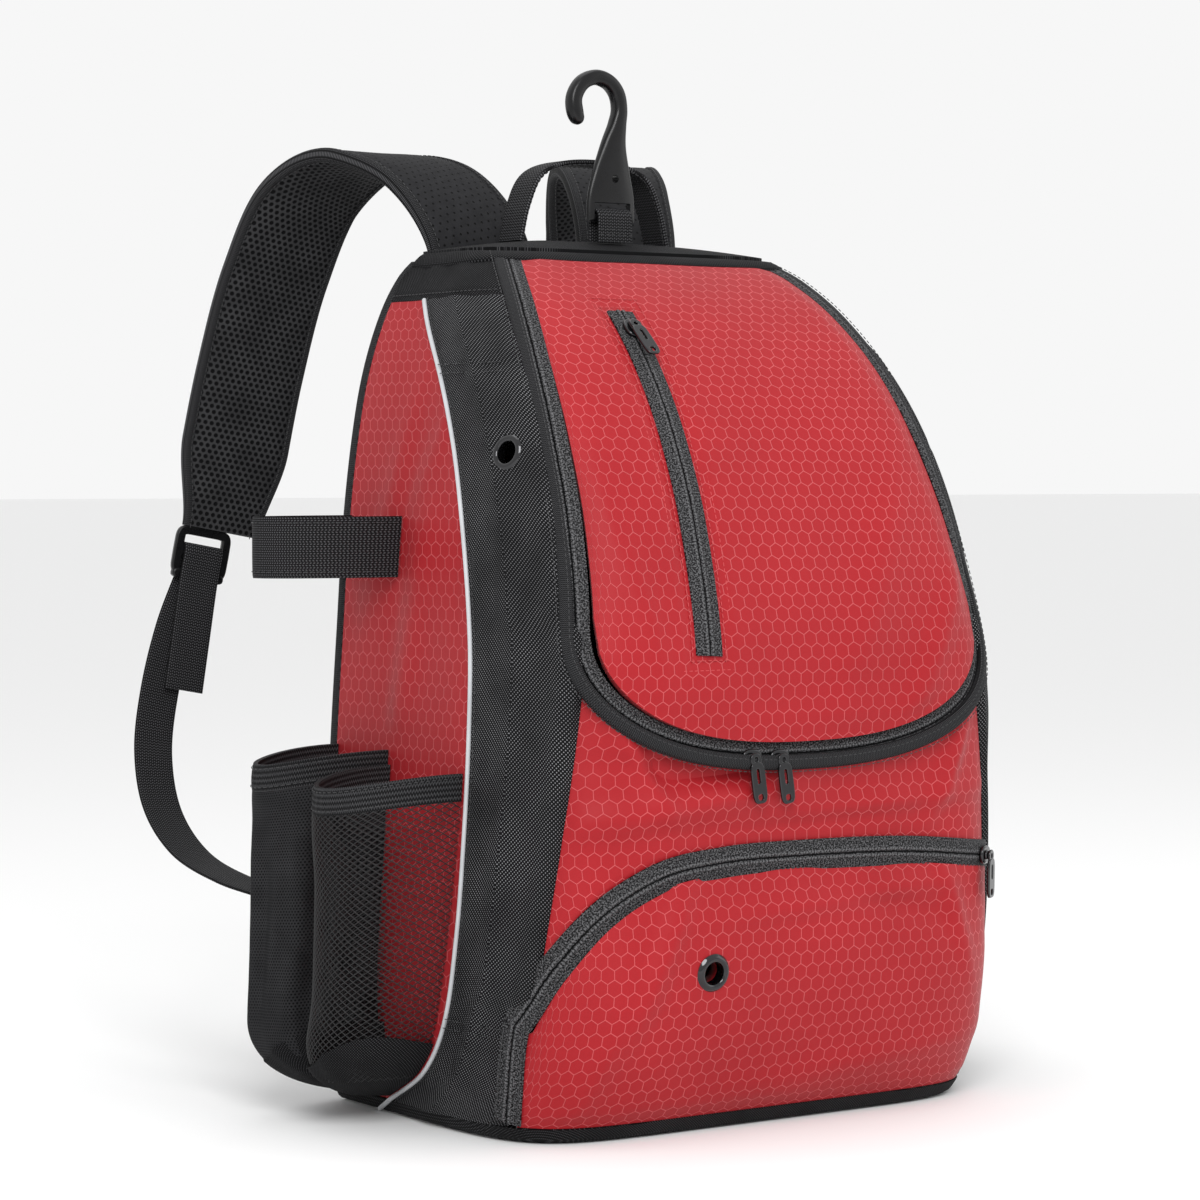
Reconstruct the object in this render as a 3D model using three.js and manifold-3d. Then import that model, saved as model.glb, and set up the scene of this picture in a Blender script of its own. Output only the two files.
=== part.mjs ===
// A backpack for baseball gear, standing on its base, in millimetres.
// +Z is up, the wearer's side is +Y and the front is -Y; the origin is the middle of
// the base's lower face, on the ground. Places below are drawn from the middle of the
// base's back edge, and the whole group is moved forward of it at the end.
import * as THREE from 'three';
import { mergeVertices } from 'three/addons/utils/BufferGeometryUtils.js';
import Module from 'manifold-3d';

// Body
const BODY_HEIGHT = 482;
const BODY_WIDTH = 332;
const BODY_DEPTH = 222;
const CORNER_SQUARENESS = 7;

// Foam-backed cloth, pocket mesh, webbing and the gap that neighbouring pieces keep
const CLOTH = 3;
const POCKET_MESH = 2;
const GAP = 0.3;
const WEBBING = 2;
const FOLD_SLACK = 1.05;
const BASE_RIM = 9;
const BASE_FLOOR = 5;
const BACK_PAD = 8;
const TOP_RISE = 9;
const TOP_CENTRE = 0.03;

// Zips
const TAPE_WIDTH = 15;
const TAPE_THICK = 1.6;
const FLAP_BOTTOM = 206;
const FLAP_CORNER = 72;
const LOWER_POCKET_HEIGHT = 150;
const LOWER_POCKET_BULGE = 9;
const CHEST_ZIP_LENGTH = 186;
const CHEST_ZIP_WIDTH = 17;
const CHEST_ZIP_DROP = 36;
const CHEST_ZIP_SIDE = -58;
const FLAP_HEADS = [-0.25, -0.12];
const LOWER_HEAD = 0.9;
const PULL_LEAN = 0.12;
const SLIDER_LENGTH = 11;
const SLIDER_WIDTH = 9;
const SLIDER_HEIGHT = 4;
const CHANNEL_REACH = 6;
const PULL_LENGTH = 27;
const PULL_WIDTH = 9;
const PULL_THICK = 2;

// Trim
const PIPING = 4;
const EYELET_OUTER = 10.5;
const EYELET_HOLE = 6;
const EYELET_THICK = 3;
const EYELET_HEIGHT = 0.765;
const EYELET_PLACE = 0.6;
const POCKET_EYELET = { x: -62, z: 92 };

// Side pockets, as lengths along the depth, outward and up
const BOTTLE_BULGE = 66;
const BOTTLE_TOP = 196;
const SLEEVE_WIDTH = 57;
const SLEEVE_BULGE = 68;
const SLEEVE_TOP = 204;
const POCKET_FOOT = 12;
const POCKET_ROUND = 44;
const SEAT_GAP = 0.6;
const HEM_HEIGHT = 15;
const HEM_THICK = 2.6;
const BAT_LOOP_HEIGHT = 34;
const BAT_LOOP_BOTTOM = 300;

// Haul loop, hook and its tab
const HANDLE_SPAN = 104;
const HANDLE_RISE = 46;
const HANDLE_WEBBING = 24;
const HANDLE_THICK = 3;
const HANDLE_PLACE = 14;
const TAB_WEBBING = 24;
const TAB_RISE = 26;
const HOOK_PLATE_WIDTH = 33;
const HOOK_PLACE = 41;
const HOOK_SLOT = 7;
const HOOK_BAR = 4;
const HOOK_ROD = 9;
const HOOK_REACH = 92;

// Shoulder straps
const STRAP_WIDTH = 68;
const STRAP_THICK = 11;
const STRAP_TAPER = 0.28;
const STRAP_TILT = 0.12;
const STRAP_WEBBING = 25;
const BUCKLE_WIDTH = 34;
const BUCKLE_LENGTH = 30;
const BUCKLE_THICK = 4;
const BUCKLE_BAR = 4;
const BUCKLE_SHIFT = 10;
const STRAP_REACH = 160;
const TAIL_LENGTH = 84;
const TAIL_SPREAD = 7;

// Level sections of the body. height is a share of BODY_HEIGHT, width of half of
// BODY_WIDTH, depth of BODY_DEPTH; front is where the front zip runs, as a share of
// the section's half width, and seam where the piping runs, as a share of its depth.
const SECTIONS = [
  { height: 0.00, width: 0.955, depth: 0.870, front: 0.950, seam: 0.20 },
  { height: 0.02, width: 0.980, depth: 0.895, front: 0.950, seam: 0.30 },
  { height: 0.06, width: 0.995, depth: 0.925, front: 0.950, seam: 0.47 },
  { height: 0.12, width: 1.000, depth: 0.955, front: 0.950, seam: 0.56 },
  { height: 0.22, width: 1.000, depth: 0.985, front: 0.935, seam: 0.60 },
  { height: 0.34, width: 0.985, depth: 1.000, front: 0.912, seam: 0.61 },
  { height: 0.46, width: 0.965, depth: 1.000, front: 0.885, seam: 0.61 },
  { height: 0.56, width: 0.945, depth: 0.985, front: 0.868, seam: 0.60 },
  { height: 0.68, width: 0.920, depth: 0.915, front: 0.860, seam: 0.58 },
  { height: 0.78, width: 0.885, depth: 0.810, front: 0.860, seam: 0.55 },
  { height: 0.86, width: 0.840, depth: 0.690, front: 0.860, seam: 0.48 },
  { height: 0.93, width: 0.770, depth: 0.545, front: 0.860, seam: 0.34 },
  { height: 0.975, width: 0.695, depth: 0.415, front: 0.860, seam: 0.22 },
  { height: 1.00, width: 0.620, depth: 0.310, front: 0.860, seam: 0.16 },
];
const SIDE_TOP = 0.945;

// How finely the facets are cut: bands are flat, the pads round-cornered and the rod round
const SIDE_ROWS = 15;
const FRONT_COLUMNS = 12;
const POCKET_COLUMNS = 8;
const RING_SIDES = 16;
const FOLD_STEPS = 6;
const HANDLE_STATIONS = 18;
const PAD_STATIONS = 22;
const WEBBING_STATIONS = 26;
const BAND = { sides: 4, squareness: 40 };
const PAD = { sides: 8, squareness: 5 };
const ROD = { sides: 8, squareness: 2.6 };

// The lower pocket's zip. across is a share of the front's half width and up a share
// of LOWER_POCKET_HEIGHT; it runs from the right end to the foot of the left edge.
const LOWER_ZIP = [
  { across: 1.00, up: 0.93 },
  { across: 0.50, up: 0.985 },
  { across: 0.00, up: 1.00 },
  { across: -0.35, up: 0.995 },
  { across: -0.62, up: 0.955 },
  { across: -0.82, up: 0.84 },
  { across: -0.94, up: 0.66 },
  { across: -1.00, up: 0.44 },
];

// The hook's middle line and thickness. side and up are shares of HOOK_REACH, wide of
// HOOK_PLATE_WIDTH and thick of HOOK_ROD.
const HOOK_PROFILE = [
  { side: 0.000, up: 0.000, wide: 1.00, thick: 0.55 },
  { side: 0.000, up: 0.150, wide: 0.98, thick: 0.60 },
  { side: 0.005, up: 0.320, wide: 0.76, thick: 0.75 },
  { side: 0.020, up: 0.480, wide: 0.50, thick: 0.90 },
  { side: 0.050, up: 0.620, wide: 0.32, thick: 1.00 },
  { side: 0.065, up: 0.710, wide: 0.27, thick: 1.00 },
  { side: 0.045, up: 0.810, wide: 0.27, thick: 1.00 },
  { side: -0.020, up: 0.880, wide: 0.27, thick: 1.00 },
  { side: -0.120, up: 0.905, wide: 0.27, thick: 1.00 },
  { side: -0.220, up: 0.865, wide: 0.27, thick: 1.00 },
  { side: -0.280, up: 0.770, wide: 0.27, thick: 1.00 },
  { side: -0.270, up: 0.670, wide: 0.27, thick: 1.00 },
  { side: -0.235, up: 0.610, wide: 0.20, thick: 0.75 },
];

// The haul loop's middle line: side is a share of half of HANDLE_SPAN and up of HANDLE_RISE
const HANDLE_PROFILE = [
  { side: -1.00, up: 0.00 },
  { side: -0.90, up: 0.45 },
  { side: -0.72, up: 0.84 },
  { side: -0.40, up: 1.00 },
  { side: 0.40, up: 1.00 },
  { side: 0.72, up: 0.84 },
  { side: 0.90, up: 0.45 },
  { side: 1.00, up: 0.00 },
];

// The middle line of the left strap's pad, from the back panel. side is a share of half
// of BODY_WIDTH, back of STRAP_REACH behind the back panel and up of BODY_HEIGHT.
const STRAP_PATH = [
  { side: -0.277, back: 0.00, up: 0.830 },
  { side: -0.289, back: 0.00, up: 0.934 },
  { side: -0.331, back: 0.05, up: 1.037 },
  { side: -0.410, back: 0.24, up: 1.108 },
  { side: -0.524, back: 0.49, up: 1.127 },
  { side: -0.627, back: 0.70, up: 1.087 },
  { side: -0.693, back: 0.85, up: 0.992 },
  { side: -0.753, back: 0.94, up: 0.871 },
  { side: -0.807, back: 0.98, up: 0.757 },
  { side: -0.855, back: 0.99, up: 0.668 },
];

// The middle line of the left strap's webbing from below the buckle to the back panel,
// in the same shares
const WEBBING_PATH = [
  { side: -1.036, back: 1.04, up: 0.544 },
  { side: -1.108, back: 1.02, up: 0.467 },
  { side: -1.157, back: 0.975, up: 0.394 },
  { side: -1.175, back: 0.875, up: 0.328 },
  { side: -1.175, back: 0.66, up: 0.278 },
  { side: -1.145, back: 0.36, up: 0.251 },
  { side: -1.072, back: 0.14, up: 0.237 },
  { side: -0.970, back: 0.04, up: 0.218 },
  { side: -0.910, back: 0.004, up: 0.191 },
  { side: -0.910, back: 0.00, up: 0.154 },
];

const group = new THREE.Group();
const wasm = await Module();
wasm.setup();

// Colours and finishes
function finish(color, roughness, metalness = 0) {
  return new THREE.MeshStandardMaterial({ color, roughness, metalness });
}
const redCloth = finish(0xa3151a, 0.7);
const blackCloth = finish(0x1b1b1d, 0.85);
const meshCloth = finish(0x151516, 0.9);
const blackWebbing = finish(0x141415, 0.8);
const blackPlastic = finish(0x101011, 0.4);
const blackMetal = finish(0x0c0c0d, 0.25, 0.8);
const paleTrim = finish(0xd9dadb, 0.5);

function addMesh(name, geometry, material) {
  const mesh = new THREE.Mesh(geometry, material);
  mesh.name = name;
  group.add(mesh);
}

// A column of the section table at a height, on a smooth curve through its rows
function share(column, z) {
  const h = THREE.MathUtils.clamp(z / BODY_HEIGHT, 0, 1);
  const last = SECTIONS.length - 1;
  let i = 1;
  while (i < last && SECTIONS[i].height < h) {
    i += 1;
  }
  const slope = (k) => {
    const below = SECTIONS[Math.max(k - 1, 0)];
    const above = SECTIONS[Math.min(k + 1, last)];
    return (above[column] - below[column]) / (above.height - below.height);
  };
  const low = SECTIONS[i - 1];
  const high = SECTIONS[i];
  const span = high.height - low.height;
  const t = (h - low.height) / span;
  const curve = new THREE.CubicBezierCurve(
    new THREE.Vector2(0, low[column]),
    new THREE.Vector2(1 / 3, low[column] + slope(i - 1) * span / 3),
    new THREE.Vector2(2 / 3, high[column] - slope(i) * span / 3),
    new THREE.Vector2(1, high[column]),
  );
  return curve.getPoint(t).y;
}
const halfWidthAt = (z) => share('width', z) * BODY_WIDTH / 2;
const depthAt = (z) => share('depth', z) * BODY_DEPTH;
const frontHalfAt = (z) => share('front', z) * halfWidthAt(z);
const seamAt = (z) => share('seam', z) * depthAt(z);

// Angles round a level section: 0 is the left back edge, a half turn the right one.
// squareRest is the share of the other half size that a section has left at a place.
function levelPoint(angle, z) {
  const across = Math.abs(Math.cos(angle)) / halfWidthAt(z);
  const along = Math.abs(Math.sin(angle)) / depthAt(z);
  const n = CORNER_SQUARENESS;
  const reach = (across ** n + along ** n) ** (-1 / n);
  return new THREE.Vector3(-reach * Math.cos(angle), -reach * Math.sin(angle), z);
}
function squareRest(part, whole) {
  const ratio = Math.min(Math.abs(part) / whole, 0.9999);
  return (1 - ratio ** CORNER_SQUARENESS) ** (1 / CORNER_SQUARENESS);
}
const frontAngle = (x, z) => Math.atan2(depthAt(z) * squareRest(x, halfWidthAt(z)), -x);
const sideAngle = (y, z) => Math.atan2(y, halfWidthAt(z) * squareRest(y, depthAt(z)));

// A point of the body's skin, moved outward by lift
function skin(angle, z, lift) {
  const step = 0.002;
  const rise = 0.4;
  const low = Math.max(z - rise, 0);
  const high = Math.min(z + rise, BODY_HEIGHT);
  const round = levelPoint(angle + step, z).sub(levelPoint(angle - step, z));
  const up = levelPoint(angle, high).sub(levelPoint(angle, low));
  const normal = round.cross(up).normalize();
  return levelPoint(angle, z).addScaledVector(normal, lift);
}

// A closed solid between two grids of points, the outer one first
function solidBetween(outer, inner) {
  const rows = outer.length;
  const columns = outer[0].length;
  const positions = [];
  [...outer, ...inner].flat().forEach((p) => positions.push(p.x, p.y, p.z));
  const at = (layer, r, c) => (layer * rows + r) * columns + c;
  const index = [];
  const quad = (a, b, c, d) => index.push(a, b, c, a, c, d);
  for (let r = 0; r < rows - 1; r += 1) {
    for (let c = 0; c < columns - 1; c += 1) {
      quad(at(0, r, c), at(0, r, c + 1), at(0, r + 1, c + 1), at(0, r + 1, c));
      quad(at(1, r, c), at(1, r + 1, c), at(1, r + 1, c + 1), at(1, r, c + 1));
    }
  }
  for (let c = 0; c < columns - 1; c += 1) {
    quad(at(1, 0, c), at(1, 0, c + 1), at(0, 0, c + 1), at(0, 0, c));
    quad(at(0, rows - 1, c), at(0, rows - 1, c + 1), at(1, rows - 1, c + 1), at(1, rows - 1, c));
  }
  for (let r = 0; r < rows - 1; r += 1) {
    quad(at(0, r, 0), at(0, r + 1, 0), at(1, r + 1, 0), at(1, r, 0));
    const end = columns - 1;
    quad(at(1, r, end), at(1, r + 1, end), at(0, r + 1, end), at(0, r, end));
  }
  const geometry = new THREE.BufferGeometry();
  geometry.setAttribute('position', new THREE.Float32BufferAttribute(positions, 3));
  geometry.setIndex(index);
  return geometry;
}

// A grid of points: make(u, v) with u and v from 0 to 1
function grid(columns, rows, make) {
  return Array.from({ length: rows + 1 }, (_, r) => (
    Array.from({ length: columns + 1 }, (_unused, c) => make(c / columns, r / rows))
  ));
}

// Rows crowd towards both ends, where the body rounds off
const crowded = (v) => (v + (1 - Math.cos(Math.PI * v)) / 2) / 2;

// A panel of the body's skin; place gives { angle, z, lift } for u across and v up
function bodyPanel(columns, rows, wall, place) {
  const layer = (inset) => grid(columns, rows, (u, v) => {
    const spot = place(u, v);
    return skin(spot.angle, spot.z, (spot.lift ?? 0) - inset);
  });
  return solidBetween(layer(0), layer(wall));
}

// bareMesh keeps the points and faces alone; mirrored is the image across the middle plane
function bareMesh(geometry) {
  const bare = geometry.clone();
  bare.deleteAttribute('normal');
  bare.deleteAttribute('uv');
  return mergeVertices(bare, 1e-4);
}
function mirrored(geometry) {
  const copy = bareMesh(geometry);
  copy.scale(-1, 1, 1);
  const index = Array.from(copy.index.array);
  for (let i = 0; i < index.length; i += 3) {
    [index[i], index[i + 1]] = [index[i + 1], index[i]];
  }
  copy.setIndex(index);
  return copy;
}
function addPair(name, geometry, material) {
  addMesh(`${name}_left`, geometry, material);
  addMesh(`${name}_right`, mirrored(geometry), material);
}

// A bar swept through stations { at, across, wide, thick }, with a round-cornered section
function sweep(stations, { sides, squareness }) {
  const rings = stations.map((station, i) => {
    const before = stations[Math.max(i - 1, 0)].at;
    const after = stations[Math.min(i + 1, stations.length - 1)].at;
    const along = after.clone().sub(before).normalize();
    const facing = along.clone().cross(station.across).normalize();
    const across = facing.clone().cross(along).normalize();
    return Array.from({ length: sides }, (_, k) => {
      const a = (k + 0.5) / sides * Math.PI * 2;
      const c = Math.cos(a);
      const s = Math.sin(a);
      const reach = (Math.abs(c) ** squareness + Math.abs(s) ** squareness) ** (-1 / squareness);
      return station.at.clone()
        .addScaledVector(across, reach * c * station.wide / 2)
        .addScaledVector(facing, reach * s * station.thick / 2);
    });
  });
  const positions = rings.flat().flatMap((p) => [p.x, p.y, p.z]);
  const index = [];
  for (let r = 0; r < rings.length - 1; r += 1) {
    for (let k = 0; k < sides; k += 1) {
      const a = r * sides + k;
      const b = r * sides + (k + 1) % sides;
      index.push(a, b, b + sides, a, b + sides, a + sides);
    }
  }
  const top = (rings.length - 1) * sides;
  for (let k = 1; k < sides - 1; k += 1) {
    index.push(0, k + 1, k);
    index.push(top, top + k, top + k + 1);
  }
  const geometry = new THREE.BufferGeometry();
  geometry.setAttribute('position', new THREE.Float32BufferAttribute(positions, 3));
  geometry.setIndex(index);
  return geometry;
}

// The hook bends within its own plane, so its sections turn about the depth axis
function hookSweep(stations) {
  const flat = stations.map((station, i) => {
    const before = stations[Math.max(i - 1, 0)].at;
    const after = stations[Math.min(i + 1, stations.length - 1)].at;
    const along = after.clone().sub(before).normalize();
    return { ...station, across: along.cross(new THREE.Vector3(0, 1, 0)).negate() };
  });
  return sweep(flat, ROD);
}

// Stations along a smooth curve through points { x, y, z }
function stationsAlong(points, count, make) {
  const curve = new THREE.CatmullRomCurve3(points, false, 'centripetal');
  return Array.from({ length: count + 1 }, (_, i) => {
    const t = i / count;
    return { at: curve.getPointAt(t), ...make(t) };
  });
}

// Booleans
function toSolid(geometry) {
  const merged = bareMesh(geometry);
  return new wasm.Manifold(new wasm.Mesh({
    numProp: 3,
    vertProperties: new Float32Array(merged.attributes.position.array),
    triVerts: new Uint32Array(merged.index.array),
  }));
}
function toGeometry(solid) {
  const mesh = solid.getMesh();
  const geometry = new THREE.BufferGeometry();
  geometry.setAttribute('position', new THREE.Float32BufferAttribute(mesh.vertProperties, 3));
  geometry.setIndex(Array.from(mesh.triVerts));
  return geometry;
}
// A piece drawn flat, x across, y up and z outward, set on the skin and turned in place
function placedOnSkin(geometry, angle, z, lift, turn = 0) {
  const at = skin(angle, z, lift);
  const outward = skin(angle, z, lift + 1).sub(at).normalize();
  const up = new THREE.Vector3(0, 0, 1).addScaledVector(outward, -outward.z).normalize();
  const across = up.clone().cross(outward);
  const frame = new THREE.Matrix4().makeBasis(across, up, outward).setPosition(at);
  return geometry.clone().rotateZ(turn).applyMatrix4(frame);
}

// The zip lines on the front
const flapEdge = (q) => {
  const roundness = 2.4;
  const inset = 1 - (1 - Math.min(Math.abs(q), 1) ** roundness) ** (1 / roundness);
  return FLAP_BOTTOM + FLAP_CORNER * inset;
};
const lowerZipCurve = new THREE.SplineCurve(LOWER_ZIP.map((row) => new THREE.Vector2(row.across, row.up)));
const lowerZipSpots = lowerZipCurve.getPoints(90);
function lowerEdge(q) {
  let i = 1;
  while (i < lowerZipSpots.length - 1 && lowerZipSpots[i].x > q) {
    i += 1;
  }
  const right = lowerZipSpots[i - 1];
  const left = lowerZipSpots[i];
  const t = THREE.MathUtils.clamp((q - right.x) / (left.x - right.x), 0, 1);
  return LOWER_POCKET_HEIGHT * (right.y + (left.y - right.y) * t);
}

// A strip laid on the skin along a line of { angle, z }, from one lift to another.
// overrun lengthens both of its ends.
function stripOnSkin(line, width, low, high, overrun = 0) {
  const spots = line.map((spot) => {
    const at = skin(spot.angle, spot.z, 0);
    return { at, outward: skin(spot.angle, spot.z, 1).sub(at) };
  });
  const last = spots.length - 1;
  const edges = spots.map(({ at, outward }, i) => {
    const along = spots[Math.min(i + 1, last)].at.clone().sub(spots[Math.max(i - 1, 0)].at).normalize();
    const side = outward.clone().cross(along).normalize();
    const shift = i === 0 ? -overrun : overrun * Number(i === last);
    return { at: at.clone().addScaledVector(along, shift), side, outward };
  });
  const layer = (lift) => edges.map(({ at, side, outward }) => [0.5, -0.5].map((s) => (
    at.clone().addScaledVector(side, width * s).addScaledVector(outward, lift)
  )));
  return solidBetween(layer(high), layer(low));
}
const TAPE_LOW = -TAPE_THICK / 2;
const TAPE_HIGH = TAPE_THICK / 2;
const tapeChannel = (line, width) => (
  stripOnSkin(line, width + 3 * GAP, -CHANNEL_REACH, CHANNEL_REACH, CHANNEL_REACH)
);
function cutBy(geometry, tools) {
  const start = toSolid(geometry);
  return toGeometry(tools.reduce((solid, tool) => solid.subtract(toSolid(tool)), start));
}

// The lines of the zips on the skin
const WALL_FOOT = BASE_RIM + GAP;
const onFront = (q, z) => ({ angle: frontAngle(q * frontHalfAt(z), z), z });
const TAPE_TOP = BODY_HEIGHT - CLOTH;
const TAPE_FOOT = WALL_FOOT + CLOTH;
function flapLine() {
  const corner = FLAP_BOTTOM + FLAP_CORNER;
  const leg = Array.from({ length: 10 }, (_, i) => TAPE_TOP + (corner - TAPE_TOP) * i / 10);
  const round = Array.from({ length: 19 }, (_, i) => -Math.cos(i / 18 * Math.PI));
  return [
    ...leg.map((z) => onFront(-1, z)),
    ...round.map((q) => onFront(q, flapEdge(q))),
    ...leg.toReversed().map((z) => onFront(1, z)),
  ];
}
function lowerLine() {
  const bend = lowerZipCurve.getSpacedPoints(20);
  const across = bend.map((spot) => onFront(spot.x, spot.y * LOWER_POCKET_HEIGHT));
  const corner = across[across.length - 1].z;
  const leg = Array.from({ length: 4 }, (_, i) => corner + (TAPE_FOOT - corner) * (i + 1) / 4);
  return [...across, ...leg.map((z) => onFront(-1, z))];
}
const chestTop = BODY_HEIGHT - CHEST_ZIP_DROP;
function chestLine() {
  return Array.from({ length: 9 }, (_, i) => {
    const z = chestTop - CHEST_ZIP_LENGTH * i / 8;
    return { angle: frontAngle(CHEST_ZIP_SIDE, z), z };
  });
}
const zipLines = { flap: flapLine(), lower: lowerLine(), chest: chestLine() };
const tape = (line, width) => stripOnSkin(line, width, TAPE_LOW, TAPE_HIGH);
addMesh('flap_zip', tape(zipLines.flap, TAPE_WIDTH), blackWebbing);
addMesh('lower_zip', tape(zipLines.lower, TAPE_WIDTH), blackWebbing);
addMesh('chest_zip', tape(zipLines.chest, CHEST_ZIP_WIDTH), blackWebbing);
const flapChannel = tapeChannel(zipLines.flap, TAPE_WIDTH);
const lowerChannel = tapeChannel(zipLines.lower, TAPE_WIDTH);
const chestCut = CHEST_ZIP_WIDTH + 2 * GAP;
const chestChannel = stripOnSkin(zipLines.chest, chestCut, -CHANNEL_REACH, CHANNEL_REACH, GAP);

// Base and back
function makeBase() {
  const ring = (z, inset) => Array.from({ length: 29 }, (_, i) => skin(i / 28 * Math.PI, z, -inset));
  const rim = ring(BASE_RIM, 0);
  const floor = ring(0, 0);
  const outline = new THREE.Shape(floor.map((p) => new THREE.Vector2(p.x, p.y)));
  const inner = ring(BASE_FLOOR, CLOTH).map((p) => new THREE.Vector2(p.x, Math.min(p.y, -CLOTH)));
  const block = new THREE.ExtrudeGeometry(outline, { depth: BASE_RIM, bevelEnabled: false });
  const flare = block.attributes.position;
  floor.forEach((p, i) => {
    for (let k = 0; k < flare.count; k += 1) {
      const same = Math.hypot(flare.getX(k) - p.x, flare.getY(k) - p.y) < 0.01;
      if (same && flare.getZ(k) > BASE_RIM / 2) flare.setXY(k, rim[i].x, rim[i].y);
    }
  });
  const hollow = new THREE.ExtrudeGeometry(new THREE.Shape(inner), { depth: BASE_RIM, bevelEnabled: false });
  return cutBy(block, [hollow.translate(0, 0, BASE_FLOOR)]);
}
addMesh('base', makeBase(), blackCloth);

function makeBackPanel() {
  const layer = (y) => grid(4, 9, (u, v) => {
    const z = WALL_FOOT + v * (BODY_HEIGHT - WALL_FOOT);
    return new THREE.Vector3((1 - 2 * u) * halfWidthAt(z), y, z);
  });
  return solidBetween(layer(GAP + BACK_PAD), layer(GAP));
}
addMesh('back_panel', makeBackPanel(), meshCloth);

// Side panels, piping and gussets
const sideTop = SIDE_TOP * BODY_HEIGHT;
const sideHeight = (v) => WALL_FOOT + crowded(v) * (sideTop - WALL_FOOT);
addPair('side_panel', bodyPanel(3, SIDE_ROWS, CLOTH, (u, v) => {
  const z = sideHeight(v);
  return { angle: sideAngle(u * seamAt(z), z), z };
}), redCloth);

const pipingStart = (z) => seamAt(z) + GAP;
addPair('piping', bodyPanel(1, SIDE_ROWS, PIPING, (u, v) => {
  const z = sideHeight(v);
  return { angle: sideAngle(pipingStart(z) + u * PIPING, z), z, lift: PIPING / 2 };
}), paleTrim);

const gussetStart = (z) => pipingStart(z) + PIPING + GAP;
function gussetGeometry() {
  return bodyPanel(5, SIDE_ROWS, CLOTH, (u, v) => {
    const z = sideHeight(v);
    const from = sideAngle(gussetStart(z), z);
    const to = frontAngle(-frontHalfAt(z), z);
    return { angle: from + u * (to - from), z };
  });
}
const eyeletHeight = EYELET_HEIGHT * BODY_HEIGHT;
const gussetEyelet = () => {
  const from = sideAngle(gussetStart(eyeletHeight), eyeletHeight);
  const to = frontAngle(-frontHalfAt(eyeletHeight), eyeletHeight);
  return from + EYELET_PLACE * (to - from);
};
const eyeletSeat = EYELET_OUTER + GAP;
const holeLength = 4 * CHANNEL_REACH;
const eyeletHole = new THREE.CylinderGeometry(eyeletSeat, eyeletSeat, holeLength, RING_SIDES);
eyeletHole.rotateX(Math.PI / 2);
const ringMiddle = (EYELET_HOLE + EYELET_OUTER) / 2;
const eyeletRing = new THREE.LatheGeometry([
  new THREE.Vector2(EYELET_HOLE, 0),
  new THREE.Vector2(ringMiddle, -EYELET_THICK / 2),
  new THREE.Vector2(EYELET_OUTER, 0),
  new THREE.Vector2(ringMiddle, EYELET_THICK / 2),
  new THREE.Vector2(EYELET_HOLE, 0),
], RING_SIDES).rotateX(Math.PI / 2);
const gussetHole = placedOnSkin(eyeletHole, gussetEyelet(), eyeletHeight, 0);
const gusset = gussetGeometry();
const channels = [flapChannel, lowerChannel];
addMesh('gusset_left', cutBy(gusset, [gussetHole, ...channels]), blackCloth);
addMesh('gusset_right', cutBy(mirrored(gusset), [mirrored(gussetHole), ...channels]), blackCloth);

const gussetRing = placedOnSkin(eyeletRing, gussetEyelet(), eyeletHeight, -CLOTH / 2);
addMesh('eyelet_left', gussetRing, blackMetal);
addMesh('eyelet_right', mirrored(gussetRing), blackMetal);

// Shoulder yokes join the gussets over the side panels to the top
const yoke = bodyPanel(7, 3, CLOTH, (u, v) => {
  const foot = sideTop + GAP;
  const z = foot + v * (BODY_HEIGHT - foot);
  return { angle: u * frontAngle(-frontHalfAt(z), z), z };
});
addPair('yoke', cutBy(yoke, [flapChannel]), blackCloth);

// Front panels, between a low and a high line; their edges pass under the tapes' edges
const frontMargin = 4 * GAP / BODY_WIDTH;
const tapeCover = TAPE_WIDTH / 3;
const swell = (q, v, bulge) => bulge * (1 - q ** 4) * Math.sin(Math.PI * v);
function frontPanel(rows, low, high, bulge = 0) {
  return bodyPanel(FRONT_COLUMNS, rows, CLOTH, (u, v) => {
    const q = (2 * u - 1) * (1 - frontMargin);
    const z = low(q) + v * (high(q) - low(q));
    return { ...onFront(q, z), lift: swell(q, v, bulge) };
  });
}
const flap = frontPanel(9, (q) => flapEdge(q) + tapeCover, () => BODY_HEIGHT);
addMesh('flap', cutBy(flap, [flapChannel, chestChannel]), redCloth);
const middle = frontPanel(4, (q) => lowerEdge(q) + tapeCover, (q) => flapEdge(q) - tapeCover);
addMesh('middle_panel', cutBy(middle, channels), redCloth);
const lowerPocket = frontPanel(6, () => WALL_FOOT, (q) => lowerEdge(q) - tapeCover, LOWER_POCKET_BULGE);
const pocketEyeletAngle = frontAngle(POCKET_EYELET.x, POCKET_EYELET.z);
function pocketEyeletLift() {
  const q = POCKET_EYELET.x / frontHalfAt(POCKET_EYELET.z);
  const v = (POCKET_EYELET.z - WALL_FOOT) / (lowerEdge(q) - WALL_FOOT);
  return swell(q, v, LOWER_POCKET_BULGE) - CLOTH / 2;
}
const pocketHole = placedOnSkin(eyeletHole, pocketEyeletAngle, POCKET_EYELET.z, 0);
const pocketRing = placedOnSkin(eyeletRing, pocketEyeletAngle, POCKET_EYELET.z, pocketEyeletLift());
addMesh('eyelet_pocket', pocketRing, blackMetal);
addMesh('lower_pocket', cutBy(lowerPocket, [pocketHole, lowerChannel]), redCloth);

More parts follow.
